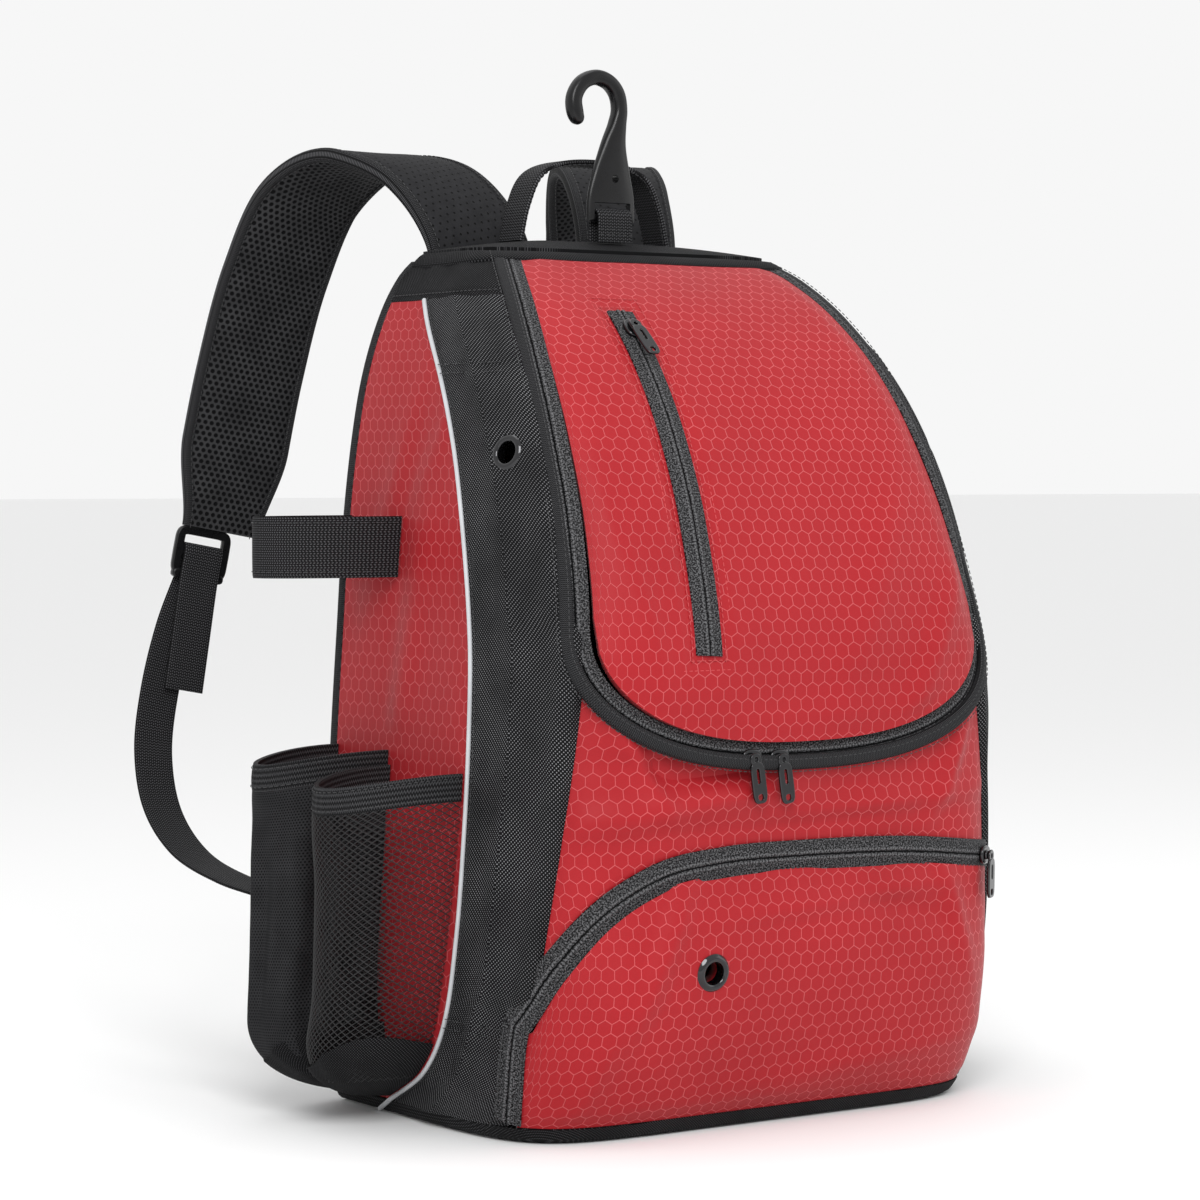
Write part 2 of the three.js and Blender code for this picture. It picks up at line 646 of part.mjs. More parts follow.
// Top panel
function makeTop() {
  const layer = (thick) => grid(14, 4, (u, v) => {
    const edge = levelPoint(u * Math.PI, BODY_HEIGHT);
    const reach = TOP_CENTRE + (1 - TOP_CENTRE) * (1 - v);
    const inward = new THREE.Vector3(edge.x * reach, (edge.y + GAP) * reach - GAP, 0);
    return inward.setZ(BODY_HEIGHT + GAP + thick + TOP_RISE * (1 - reach ** 2));
  });
  return solidBetween(layer(CLOTH), layer(0));
}
addMesh('top_panel', makeTop(), blackCloth);

// The height of the top panel's upper face at a place
function topFace(x, y) {
  const edge = levelPoint(Math.atan2(-y, -x), BODY_HEIGHT);
  const reach = Math.hypot(x, y) / Math.hypot(edge.x, edge.y);
  return BODY_HEIGHT + GAP + CLOTH + TOP_RISE * (1 - reach ** 2);
}

// Sliders and pulls
const sliderShape = new THREE.Shape([
  new THREE.Vector2(-SLIDER_WIDTH / 2, SLIDER_LENGTH / 2),
  new THREE.Vector2(-SLIDER_WIDTH / 3, -SLIDER_LENGTH / 2),
  new THREE.Vector2(SLIDER_WIDTH / 3, -SLIDER_LENGTH / 2),
  new THREE.Vector2(SLIDER_WIDTH / 2, SLIDER_LENGTH / 2),
]);
const slider = new THREE.ExtrudeGeometry(sliderShape, { depth: SLIDER_HEIGHT, bevelEnabled: false });
function roundedBox(width, top, bottom, corner) {
  const shape = new THREE.Shape();
  shape.moveTo(-width / 2, top - corner);
  shape.lineTo(-width / 2, bottom + corner);
  shape.quadraticCurveTo(-width / 2, bottom, -width / 2 + corner, bottom);
  shape.lineTo(width / 2 - corner, bottom);
  shape.quadraticCurveTo(width / 2, bottom, width / 2, bottom + corner);
  shape.lineTo(width / 2, top - corner);
  shape.quadraticCurveTo(width / 2, top, width / 2 - corner, top);
  shape.lineTo(-width / 2 + corner, top);
  shape.quadraticCurveTo(-width / 2, top, -width / 2, top - corner);
  return shape;
}
const pullShape = roundedBox(PULL_WIDTH, SLIDER_LENGTH / 4, SLIDER_LENGTH / 4 - PULL_LENGTH, PULL_WIDTH / 3);
const pullSlot = PULL_LENGTH / 4;
const pullFoot = SLIDER_LENGTH / 4 - PULL_LENGTH + PULL_THICK;
pullShape.holes.push(roundedBox(PULL_WIDTH / 2, pullFoot + pullSlot, pullFoot, PULL_WIDTH / 6));
const plate = (shape, depth) => (
  new THREE.ExtrudeGeometry(shape, { depth, bevelEnabled: false, curveSegments: 2 })
);
const pull = plate(pullShape, PULL_THICK);
function addZipHead(name, spot, sliderTurn, pullTurn) {
  const seat = TAPE_HIGH + GAP;
  addMesh(`${name}_slider`, placedOnSkin(slider, spot.angle, spot.z, seat, sliderTurn), blackMetal);
  const over = seat + SLIDER_HEIGHT + GAP;
  addMesh(`${name}_pull`, placedOnSkin(pull, spot.angle, spot.z, over, pullTurn), blackMetal);
}
const flapHead = (q) => onFront(q, flapEdge(q));
addZipHead('flap_zip_a', flapHead(FLAP_HEADS[0]), Math.PI / 2, PULL_LEAN);
addZipHead('flap_zip_b', flapHead(FLAP_HEADS[1]), -Math.PI / 2, PULL_LEAN);
addZipHead('lower_zip', onFront(LOWER_HEAD, lowerEdge(LOWER_HEAD)), Math.PI / 2, 0);
const chestHead = chestTop - SLIDER_LENGTH;
addZipHead('chest_zip', { angle: frontAngle(CHEST_ZIP_SIDE, chestHead), z: chestHead }, 0, PULL_LEAN);

// Side pockets: a wall that bulges from the side panel between two lines, back and front
const sideFace = (y, z) => halfWidthAt(z) * squareRest(y, depthAt(z));
function pocketWall({ back, front, bulge, foot, top, wall, columns, rows }) {
  const layer = (inset) => grid(columns, rows, (u, v) => {
    const z = foot + v * (top - foot);
    const middle = (back(z) + front(z)) / 2;
    const half = (front(z) - back(z)) / 2 - inset;
    const a = u * Math.PI;
    const y = middle - half * Math.cos(a);
    const out = SEAT_GAP + (bulge(z) - inset) * Math.sin(a);
    return new THREE.Vector3(-sideFace(y, z) - out, -y, z);
  });
  return solidBetween(layer(0), layer(wall));
}
function pocketBulge(full, z) {
  const up = Math.min((z - POCKET_FOOT) / POCKET_ROUND, 1);
  const thinnest = HEM_THICK + GAP;
  return thinnest + (full - thinnest) * Math.sqrt(1 - (1 - up) ** 2);
}
const sleeveBack = () => GAP;
const sleeveFront = () => GAP + SLEEVE_WIDTH;
const bottleBack = () => 2 * GAP + SLEEVE_WIDTH;
const bottleFront = (z) => seamAt(z) - PIPING / 2;
function addPocket(name, top, bulge, back, front) {
  const bulgeAt = (z) => pocketBulge(bulge, z);
  const hemFoot = top - HEM_HEIGHT;
  addPair(name, pocketWall({
    back,
    front,
    bulge: bulgeAt,
    foot: POCKET_FOOT,
    top: hemFoot - GAP,
    wall: POCKET_MESH,
    columns: POCKET_COLUMNS,
    rows: 8,
  }), meshCloth);
  addPair(`${name}_hem`, pocketWall({
    back,
    front,
    bulge: bulgeAt,
    foot: hemFoot,
    top,
    wall: HEM_THICK,
    columns: POCKET_COLUMNS,
    rows: 1,
  }), blackWebbing);
}
addPocket('bat_sleeve', SLEEVE_TOP, SLEEVE_BULGE, sleeveBack, sleeveFront);
addPocket('bottle_pocket', BOTTLE_TOP, BOTTLE_BULGE, bottleBack, bottleFront);
addPair('bat_loop', pocketWall({
  back: sleeveBack,
  front: sleeveFront,
  bulge: (z) => SLEEVE_BULGE + halfWidthAt(SLEEVE_TOP) - halfWidthAt(z),
  foot: BAT_LOOP_BOTTOM,
  top: BAT_LOOP_BOTTOM + BAT_LOOP_HEIGHT,
  wall: HEM_THICK,
  columns: 10,
  rows: 1,
}), blackWebbing);

// Haul loop over the top
const handleFoot = GAP + topFace(HANDLE_SPAN / 2 - HANDLE_THICK / 2, -HANDLE_PLACE + HANDLE_WEBBING / 2);
const handlePath = HANDLE_PROFILE.map((row) => (
  new THREE.Vector3(row.side * HANDLE_SPAN / 2, -HANDLE_PLACE, handleFoot + row.up * HANDLE_RISE)
));
const handleStations = stationsAlong(handlePath, HANDLE_STATIONS, () => ({
  across: new THREE.Vector3(0, 1, 0),
  wide: HANDLE_WEBBING,
  thick: HANDLE_THICK,
}));
addMesh('haul_loop', sweep(handleStations, BAND), blackWebbing);

// Hook: a flat plate that narrows into a rod bent over, with a slot for its tab
const hookFoot = topFace(0, -HOOK_PLACE) + TAB_RISE / 2;
const hookStations = HOOK_PROFILE.map((row) => ({
  at: new THREE.Vector3(row.side * HOOK_REACH, -HOOK_PLACE, hookFoot + row.up * HOOK_REACH),
  across: new THREE.Vector3(1, 0, 0),
  wide: row.wide * HOOK_PLATE_WIDTH,
  thick: row.thick * HOOK_ROD,
}));
const hookSlot = new THREE.BoxGeometry(TAB_WEBBING + 4 * GAP, 3 * HOOK_ROD, HOOK_SLOT);
hookSlot.translate(0, -HOOK_PLACE, hookFoot + HOOK_BAR + HOOK_SLOT / 2);
addMesh('hook', cutBy(hookSweep(hookStations), [hookSlot]), blackPlastic);

// The hook's webbing tab, folded over the plate's bar
const barMiddle = hookFoot + HOOK_BAR / 2;
const plateThick = HOOK_ROD * HOOK_PROFILE[0].thick;
const tabBend = FOLD_SLACK * (Math.hypot(plateThick, HOOK_BAR) / 2 + GAP + WEBBING / 2);
const tabFoot = topFace(0, -HOOK_PLACE + tabBend + WEBBING / 2) + GAP;
const tabStations = [
  { at: new THREE.Vector3(0, -HOOK_PLACE - tabBend, tabFoot) },
  ...Array.from({ length: FOLD_STEPS + 1 }, (_, i) => {
    const a = i / FOLD_STEPS * Math.PI;
    return {
      at: new THREE.Vector3(0, -HOOK_PLACE - tabBend * Math.cos(a), barMiddle + tabBend * Math.sin(a)),
    };
  }),
  { at: new THREE.Vector3(0, -HOOK_PLACE + tabBend, tabFoot) },
].map((station) => ({
  ...station,
  across: new THREE.Vector3(1, 0, 0),
  wide: TAB_WEBBING,
  thick: WEBBING,
}));
addMesh('hook_tab', sweep(tabStations, BAND), blackWebbing);

// Shoulder straps: a padded band from the back panel over and down to a buckle
const backFace = GAP + BACK_PAD;
const strapSeat = backFace + SEAT_GAP + STRAP_THICK / 2;
const behind = (row, seat) => new THREE.Vector3(
  row.side * BODY_WIDTH / 2,
  seat + row.back * STRAP_REACH,
  row.up * BODY_HEIGHT,
);
const strapPoints = STRAP_PATH.map((row) => behind(row, strapSeat));
const strapStations = stationsAlong(strapPoints, PAD_STATIONS, (t) => ({
  across: new THREE.Vector3(1, -STRAP_TILT * THREE.MathUtils.smoothstep(t, 0.3, 0.6), 0),
  wide: STRAP_WIDTH * (1 - STRAP_TAPER * THREE.MathUtils.smoothstep(t, 0.88, 1)),
  thick: STRAP_THICK,
}));
addPair('strap_pad', sweep(strapStations, PAD), blackCloth);

// The buckle under the pad's end: a frame with two slots, in its own frame of
// across, down and facing
const padEnd = strapStations[strapStations.length - 1];
const padDown = padEnd.at.clone().sub(strapStations[strapStations.length - 2].at).normalize();
const padFacing = padDown.clone().cross(padEnd.across).normalize();
const padAcross = padFacing.clone().cross(padDown).normalize();
const buckleMiddle = padEnd.at.clone()
  .addScaledVector(padDown, GAP + BUCKLE_LENGTH / 2)
  .addScaledVector(padAcross, -BUCKLE_SHIFT);
const buckleSpot = (down, facing) => buckleMiddle.clone()
  .addScaledVector(padDown, down)
  .addScaledVector(padFacing, facing);
const buckleShape = roundedBox(BUCKLE_WIDTH, BUCKLE_LENGTH / 2, -BUCKLE_LENGTH / 2, BUCKLE_BAR);
const slotWidth = STRAP_WEBBING + 4 * GAP;
const upperSlotTop = BUCKLE_LENGTH / 2 - BUCKLE_BAR;
const lowerSlotFoot = -BUCKLE_LENGTH / 2 + BUCKLE_BAR;
buckleShape.holes.push(roundedBox(slotWidth, upperSlotTop, BUCKLE_BAR / 2, GAP));
buckleShape.holes.push(roundedBox(slotWidth, -BUCKLE_BAR / 2, lowerSlotFoot, GAP));
const buckle = plate(buckleShape, BUCKLE_THICK);
buckle.translate(0, 0, -BUCKLE_THICK / 2);
const buckleFrame = new THREE.Matrix4().makeBasis(padAcross, padDown.clone().negate(), padFacing.clone());
addPair('strap_buckle', buckle.applyMatrix4(buckleFrame.setPosition(buckleMiddle)), blackPlastic);

// The webbing: a loose tail, a fold over the buckle's middle bar, then down to the body
const foldReach = FOLD_SLACK * (Math.hypot(BUCKLE_BAR, BUCKLE_THICK) / 2 + GAP + WEBBING / 2);
const webbingSeat = backFace + SEAT_GAP + WEBBING / 2;
const tailPoints = [TAIL_LENGTH, TAIL_LENGTH * 0.6, BUCKLE_LENGTH / 2].map((down, i) => (
  buckleSpot(down, foldReach + TAIL_SPREAD * (2 - i) / 2)
));
const foldPoints = Array.from({ length: FOLD_STEPS + 1 }, (_, i) => {
  const a = i / FOLD_STEPS * Math.PI;
  return buckleSpot(-foldReach * Math.sin(a), foldReach * Math.cos(a));
});
const mainPoints = [
  buckleSpot(BUCKLE_LENGTH / 2, -foldReach),
  ...WEBBING_PATH.map((row) => behind(row, webbingSeat)),
];
const levelAcross = new THREE.Vector3(1, 0, 0);
const webbingStation = (at, turned) => ({
  at,
  across: padAcross.clone().lerp(levelAcross, Math.min(turned, 1)),
  wide: STRAP_WEBBING,
  thick: WEBBING,
});
const levelFrom = 0.77;
const mainCurve = new THREE.CatmullRomCurve3(mainPoints, false, 'centripetal');
const mainSpots = mainCurve.getSpacedPoints(WEBBING_STATIONS);
addPair('strap_webbing', sweep([
  ...[...tailPoints, ...foldPoints].map((at) => webbingStation(at, 0)),
  ...mainSpots.map((at, i) => webbingStation(at, i / WEBBING_STATIONS / levelFrom)),
], BAND), blackWebbing);

// The middle of the base comes to the origin
group.position.y = depthAt(0) / 2;

export default group;
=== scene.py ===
import math

import bpy
import numpy as np
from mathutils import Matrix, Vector


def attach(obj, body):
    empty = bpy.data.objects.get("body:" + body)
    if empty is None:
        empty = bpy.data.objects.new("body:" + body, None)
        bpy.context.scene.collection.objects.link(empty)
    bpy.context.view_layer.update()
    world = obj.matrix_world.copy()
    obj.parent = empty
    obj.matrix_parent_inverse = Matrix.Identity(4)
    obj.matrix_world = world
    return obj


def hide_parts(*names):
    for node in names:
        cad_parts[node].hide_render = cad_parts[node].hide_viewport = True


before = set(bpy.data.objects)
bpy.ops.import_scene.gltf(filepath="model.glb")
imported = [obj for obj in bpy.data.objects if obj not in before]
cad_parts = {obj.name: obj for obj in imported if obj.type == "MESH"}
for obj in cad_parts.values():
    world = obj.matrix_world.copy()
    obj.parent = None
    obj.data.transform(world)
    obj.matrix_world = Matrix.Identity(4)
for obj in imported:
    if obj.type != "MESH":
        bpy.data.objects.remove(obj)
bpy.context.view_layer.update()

MM = 0.001

# Body, as in the part
BODY_HEIGHT = 482
BODY_WIDTH = 332
BODY_DEPTH = 222
CORNER_SQUARENESS = 7
CLOTH = 3
BASE_RIM = 9
WALL_FOOT = 9.3
SIDE_TOP = 0.945 * BODY_HEIGHT
SECTION_ROWS = [
    dict(height=0.00, width=0.955, depth=0.870, front=0.950, seam=0.20),
    dict(height=0.02, width=0.980, depth=0.895, front=0.950, seam=0.30),
    dict(height=0.06, width=0.995, depth=0.925, front=0.950, seam=0.47),
    dict(height=0.12, width=1.000, depth=0.955, front=0.950, seam=0.56),
    dict(height=0.22, width=1.000, depth=0.985, front=0.935, seam=0.60),
    dict(height=0.34, width=0.985, depth=1.000, front=0.912, seam=0.61),
    dict(height=0.46, width=0.965, depth=1.000, front=0.885, seam=0.61),
    dict(height=0.56, width=0.945, depth=0.985, front=0.868, seam=0.60),
    dict(height=0.68, width=0.920, depth=0.915, front=0.860, seam=0.58),
    dict(height=0.78, width=0.885, depth=0.810, front=0.860, seam=0.55),
    dict(height=0.86, width=0.840, depth=0.690, front=0.860, seam=0.48),
    dict(height=0.93, width=0.770, depth=0.545, front=0.860, seam=0.34),
    dict(height=0.975, width=0.695, depth=0.415, front=0.860, seam=0.22),
    dict(height=1.00, width=0.620, depth=0.310, front=0.860, seam=0.16),
]
SECTIONS = {key: np.array([row[key] for row in SECTION_ROWS]) for key in SECTION_ROWS[0]}

# Zips
FLAP_BOTTOM = 206
FLAP_CORNER = 72
FLAP_ROUNDNESS = 2.4
LOWER_POCKET_HEIGHT = 150
LOWER_POCKET_BULGE = 9
LOWER_ZIP = [
    (1.00, 0.93), (0.50, 0.985), (0.00, 1.00), (-0.35, 0.995),
    (-0.62, 0.955), (-0.82, 0.84), (-0.94, 0.66), (-1.00, 0.44),
]
TAPE_WIDTH = 15
CHEST_ZIP_WIDTH = 17
CHEST_ZIP_TOP = 446
CHEST_ZIP_LENGTH = 186
CHEST_ZIP_SIDE = -58
CHEST_ZIP_LEAN = 6

# Camera, from a fit of the model to points of the photograph
CAMERA_AZIMUTH = math.radians(34.68)
CAMERA_ELEVATION = math.radians(2.07)
CAMERA_DISTANCE = 2.007
CAMERA_LENS = 106.8
CAMERA_TARGET = Vector((-0.0483, -0.0034, 0.2864))

# The photograph's red in linear light, its paler ripstop threads, and the other cloths
RED = (0.335, 0.009, 0.014)
RED_THREAD = (0.78, 0.13, 0.14)
BLACK = (0.0025, 0.0025, 0.003)
BLACK_THREAD = (0.085, 0.085, 0.09)
PALE = (0.50, 0.51, 0.53)

# Pitches of the cloths
HONEYCOMB = 8.2
RIPSTOP_WEAVE = 0.55
OXFORD_WEAVE = 1.7
STRAP_HOLES = 5.2
ZIP_COIL = 2.1

# Middles of the flat coordinates, which keep them above 0
FLAT_MIDDLE = 200
SWEPT_MIDDLE = 60
TAPE_MIDDLE = 10


def make_camera():
    data = bpy.data.cameras.new("camera")
    camera = bpy.data.objects.new("camera", data)
    bpy.context.scene.collection.objects.link(camera)
    level = math.cos(CAMERA_ELEVATION)
    looking = Vector((
        math.sin(CAMERA_AZIMUTH) * level,
        math.cos(CAMERA_AZIMUTH) * level,
        -math.sin(CAMERA_ELEVATION),
    ))
    camera.location = CAMERA_TARGET - looking * CAMERA_DISTANCE
    camera.rotation_mode = "QUATERNION"
    camera.rotation_quaternion = looking.to_track_quat("-Z", "Y")
    data.lens = CAMERA_LENS
    data.sensor_width = 36
    bpy.context.scene.camera = camera


make_camera()


# Form of the body
def share(column, z):
    """A column of the section table at heights z, on a smooth curve through its rows"""
    heights, values = SECTIONS["height"], SECTIONS[column]
    h = np.clip(np.asarray(z, float) / BODY_HEIGHT, 0, 1)
    slopes = np.empty(len(values))
    slopes[1:-1] = (values[2:] - values[:-2]) / (heights[2:] - heights[:-2])
    slopes[0] = (values[1] - values[0]) / (heights[1] - heights[0])
    slopes[-1] = (values[-1] - values[-2]) / (heights[-1] - heights[-2])
    i = np.clip(np.searchsorted(heights, h), 1, len(heights) - 1)
    span = heights[i] - heights[i - 1]
    t = (h - heights[i - 1]) / span
    low, high = values[i - 1], values[i]
    rising = low + slopes[i - 1] * span / 3
    arriving = high - slopes[i] * span / 3
    return (low * (1 - t) ** 3 + 3 * rising * t * (1 - t) ** 2
            + 3 * arriving * t ** 2 * (1 - t) + high * t ** 3)


def half_width(z):
    return share("width", z) * BODY_WIDTH / 2


def depth(z):
    return share("depth", z) * BODY_DEPTH


def front_half(z):
    return share("front", z) * half_width(z)


def seam(z):
    return share("seam", z) * depth(z)


FORWARD = float(depth(0)) / 2


def level_point(angle, z):
    n = CORNER_SQUARENESS
    across = np.abs(np.cos(angle)) / half_width(z)
    along = np.abs(np.sin(angle)) / depth(z)
    reach = (across ** n + along ** n) ** (-1 / n)
    spots = np.broadcast_arrays(-reach * np.cos(angle), -reach * np.sin(angle), z)
    return np.stack(spots, axis=-1).astype(float)


def square_rest(part, whole):
    ratio = np.minimum(np.abs(part) / whole, 0.9999)
    return (1 - ratio ** CORNER_SQUARENESS) ** (1 / CORNER_SQUARENESS)


def front_angle(x, z):
    return np.arctan2(depth(z) * square_rest(x, half_width(z)), -np.asarray(x, float))


def side_angle(y, z):
    return np.arctan2(y, half_width(z) * square_rest(y, depth(z)))


def side_face(y, z):
    return half_width(z) * square_rest(y, depth(z))


def unit(v):
    return v / np.maximum(np.linalg.norm(v, axis=-1, keepdims=True), 1e-9)


def skin_normal(angle, z):
    round_ = level_point(angle + 0.002, z) - level_point(angle - 0.002, z)
    up = (level_point(angle, np.minimum(z + 0.4, BODY_HEIGHT))
          - level_point(angle, np.maximum(z - 0.4, 0)))
    return unit(np.cross(round_, up))


def skin(angle, z, lift):
    """Points of the body's skin, moved outward by lift"""
    return level_point(angle, z) + skin_normal(angle, z) * np.asarray(lift, float)[..., None]


def smooth(low, high, x):
    t = np.clip((np.asarray(x, float) - low) / (high - low), 0, 1)
    return t * t * (3 - 2 * t)


def inset_shape(q):
    q = np.minimum(np.abs(q), 1)
    return 1 - (1 - q ** FLAP_ROUNDNESS) ** (1 / FLAP_ROUNDNESS)


def flap_edge(q):
    return FLAP_BOTTOM + FLAP_CORNER * inset_shape(q)


def path_through(points, count):
    """count + 1 evenly spaced points on a centripetal curve through the given ones"""
    p = np.array(points, float)
    whole = np.vstack([2 * p[0] - p[1], p, 2 * p[-1] - p[-2]])
    fine = []
    for a, b, c, d in zip(whole, whole[1:], whole[2:], whole[3:]):
        t0, t1, t2 = (max(np.linalg.norm(q), 1e-6) ** 0.5 for q in (b - a, c - b, d - c))
        m1 = ((b - a) / t0 - (c - a) / (t0 + t1) + (c - b) / t1) * t1
        m2 = ((c - b) / t1 - (d - b) / (t1 + t2) + (d - c) / t2) * t1
        t = np.linspace(0, 1, 30, endpoint=False)[:, None]
        fine.append((2 * t ** 3 - 3 * t ** 2 + 1) * b + (t ** 3 - 2 * t ** 2 + t) * m1
                    + (3 * t ** 2 - 2 * t ** 3) * c + (t ** 3 - t ** 2) * m2)
    return even(np.vstack([*fine, p[-1:]]), count)


def even(points, count):
    """The same line with count + 1 evenly spaced points"""
    steps = np.linalg.norm(np.diff(points, axis=0), axis=1)
    run = np.concatenate([[0], np.cumsum(steps)])
    at = np.linspace(0, run[-1], count + 1)
    return np.stack([np.interp(at, run, points[:, k]) for k in range(points.shape[1])], axis=1)


LOWER_SPOTS = path_through(LOWER_ZIP, 200)


def lower_edge(q):
    order = LOWER_SPOTS[::-1]
    return LOWER_POCKET_HEIGHT * np.interp(q, order[:, 0], order[:, 1])


# Materials
class Graph:
    """A material's nodes, made by short calls. Its main shader is a Principled BSDF."""

    def __init__(self, name, roughness, **settings):
        self.material = bpy.data.materials.new(name)
        self.material.use_nodes = True
        self.tree = self.material.node_tree
        self.shader = next(n for n in self.tree.nodes if n.type == "BSDF_PRINCIPLED")
        self.shader.inputs["Roughness"].default_value = roughness
        for key, value in settings.items():
            self.shader.inputs[key.replace("_", " ")].default_value = value

    def node(self, kind, **settings):
        made = self.tree.nodes.new(kind)
        for key, value in settings.items():
            setattr(made, key, value)
        return made

    def link(self, value, socket):
        if isinstance(value, bpy.types.NodeSocket):
            self.tree.links.new(value, socket)
        elif socket.type == "RGBA":
            socket.default_value = (*value, 1)
        else:
            socket.default_value = value

    def math(self, operation, *values):
        made = self.node("ShaderNodeMath", operation=operation)
        for value, socket in zip(values, made.inputs):
            self.link(value, socket)
        return made.outputs[0]

    def vector(self, operation, *values):
        made = self.node("ShaderNodeVectorMath", operation=operation)
        for value, socket in zip(values, made.inputs):
            self.link(value, socket)
        scalar = operation in ("DOT_PRODUCT", "LENGTH")
        return made.outputs["Value" if scalar else "Vector"]

    def split(self, vector):
        made = self.node("ShaderNodeSeparateXYZ")
        self.link(vector, made.inputs[0])
        return made.outputs

    def millimetres(self):
        """The cloth's own flat coordinates in millimetres"""
        return self.vector("MULTIPLY", self.node("ShaderNodeUVMap").outputs[0], (1000, 1000, 0))

    def ramp(self, value, low, high, out_low=0.0, out_high=1.0):
        made = self.node("ShaderNodeMapRange", interpolation_type="SMOOTHSTEP")
        for given, key in ((value, "Value"), (low, "From Min"), (high, "From Max"),
                           (out_low, "To Min"), (out_high, "To Max")):
            self.link(given, made.inputs[key])
        return made.outputs[0]

    def mix(self, blend, first, second):
        made = self.node("ShaderNodeMix", data_type="RGBA")
        self.link(blend, made.inputs["Factor"])
        for colour, socket in ((first, made.inputs[6]), (second, made.inputs[7])):
            self.link(colour, socket)
        return made.outputs[2]

    def noise(self, scale, detail=3.0, where=None):
        made = self.node("ShaderNodeTexNoise")
        made.inputs["Scale"].default_value = scale
        made.inputs["Detail"].default_value = detail
        if where is None:
            where = self.node("ShaderNodeTexCoord").outputs["Object"]
        self.link(where, made.inputs["Vector"])
        return made.outputs[0]

    def stripes(self, value, pitch):
        """Waves from 0 to 1 along a length in millimetres"""
        turn = self.math("MULTIPLY", value, 2 * math.pi / pitch)
        return self.math("MULTIPLY_ADD", self.math("SINE", turn), 0.5, 0.5)

    def cells(self, where, width):
        """Honeycomb cells: distance to the nearest middle, by sides and round, in widths"""
        step = (width, width * math.sqrt(3), 1)
        half = (width / 2, width * math.sqrt(3) / 2, 0)
        moved = self.vector("ADD", where, (width * 200, width * 200 * math.sqrt(3), 0))
        sides, rounds = [], []
        for shifted in (moved, self.vector("SUBTRACT", moved, half)):
            local = self.vector("SUBTRACT", self.vector("MODULO", shifted, step), half)
            local = self.vector("ABSOLUTE", self.vector("MULTIPLY", local, (1 / width, 1 / width, 0)))
            slanted = self.vector("DOT_PRODUCT", local, (0.5, math.sqrt(3) / 2, 0))
            sides.append(self.math("MAXIMUM", slanted, self.split(local)[0]))
            rounds.append(self.vector("LENGTH", local))
        return self.math("MINIMUM", *sides), self.math("MINIMUM", *rounds)

    def bump(self, height, distance, strength=1.0):
        made = self.node("ShaderNodeBump")
        made.inputs["Strength"].default_value = strength
        made.inputs["Distance"].default_value = distance * MM
        self.link(height, made.inputs["Height"])
        self.link(made.outputs[0], self.shader.inputs["Normal"])

    def colour(self, value):
        self.link(value, self.shader.inputs["Base Color"])


def ripstop(name, painted_shade):
    """Red cloth with paler raised threads in a honeycomb"""
    # The shade factor scales every colour of the cloth; below 1 it is painted shade, a darker copy
    # for panels turned from the light
    g = Graph(name, 0.5, Sheen_Weight=0.06, Sheen_Roughness=0.4, Specular_IOR_Level=0.22)
    where = g.millimetres()
    across, along, _ = g.split(where)
    side, _ = g.cells(where, HONEYCOMB)
    thread = g.ramp(side, 0.452, 0.486)
    weave = g.math("MULTIPLY", g.stripes(across, RIPSTOP_WEAVE), g.stripes(along, RIPSTOP_WEAVE))

    # Scales a colour by the painted shade factor and by the cloth's own uneven tone
    def dyed_and_shaded(colour, strength):
        return tuple(c * painted_shade * strength for c in colour)

    uneven = g.noise(14, 4)
    ground = g.mix(uneven, dyed_and_shaded(RED, 0.86), dyed_and_shaded(RED, 1.12))
    threads = g.mix(uneven, dyed_and_shaded(RED_THREAD, 0.55), dyed_and_shaded(RED_THREAD, 1))
    g.colour(g.mix(g.math("MULTIPLY", thread, 0.72), ground, threads))
    g.link(g.ramp(thread, 0, 1, 0.52, 0.38), g.shader.inputs["Roughness"])
    height = g.math("MULTIPLY_ADD", weave, 0.12, thread)
    g.bump(height, 0.28, 0.8)
    return g.material


def oxford(name, pitch=OXFORD_WEAVE, slant=0.0, ridge=0.0, thread=BLACK_THREAD):
    """Coarse black weave of specks; slant and ridge turn it into a chevron about a line"""
    g = Graph(name, 0.75, Specular_IOR_Level=0.12)
    across, along, _ = g.split(g.millimetres())
    if slant:
        across = g.math("ABSOLUTE", g.math("SUBTRACT", across, ridge))
    one = g.stripes(g.math("ADD", across, along), pitch)
    other = g.stripes(g.math("SUBTRACT", across, along), pitch * (1 + slant))
    speck = g.math("MULTIPLY", one, other)
    worn = g.noise(30, 4)
    bright = g.math("MULTIPLY", g.ramp(speck, 0.35, 0.9), g.ramp(worn, 0.25, 0.7, 0.45, 1.0))
    g.colour(g.mix(bright, BLACK, thread))
    g.bump(speck, 0.35, 0.7)
    return g.material


def ribbed(name, pitch, across_pitch):
    """Webbing, tape or elastic: ribs along one way and finer yarns along the other"""
    g = Graph(name, 0.68, Specular_IOR_Level=0.15)
    across, along, _ = g.split(g.millimetres())
    wavy = g.math("MULTIPLY_ADD", g.stripes(across, across_pitch), pitch * 0.4, along)
    rib = g.stripes(wavy, pitch)
    yarn = g.math("MULTIPLY", rib, g.stripes(across, across_pitch / 2))
    g.colour(g.mix(g.ramp(yarn, 0.1, 0.95), BLACK, BLACK_THREAD))
    g.bump(g.math("MULTIPLY_ADD", yarn, 0.4, rib), 0.3, 0.7)
    return g.material


def mesh_cloth(name, cell, hole, relief, thread=(0.04, 0.04, 0.042)):
    """Knitted mesh: dark holes in a honeycomb of yarn"""
    g = Graph(name, 0.75, Specular_IOR_Level=0.12)
    _, middle = g.cells(g.millimetres(), cell)
    yarn = g.ramp(middle, hole, hole + 0.14)
    worn = g.math("MULTIPLY", yarn, g.ramp(g.noise(60, 3), 0.2, 0.8, 0.6, 1.0))
    g.colour(g.mix(worn, (0.0015, 0.0015, 0.002), thread))
    g.bump(yarn, relief, 0.9)
    return g.material


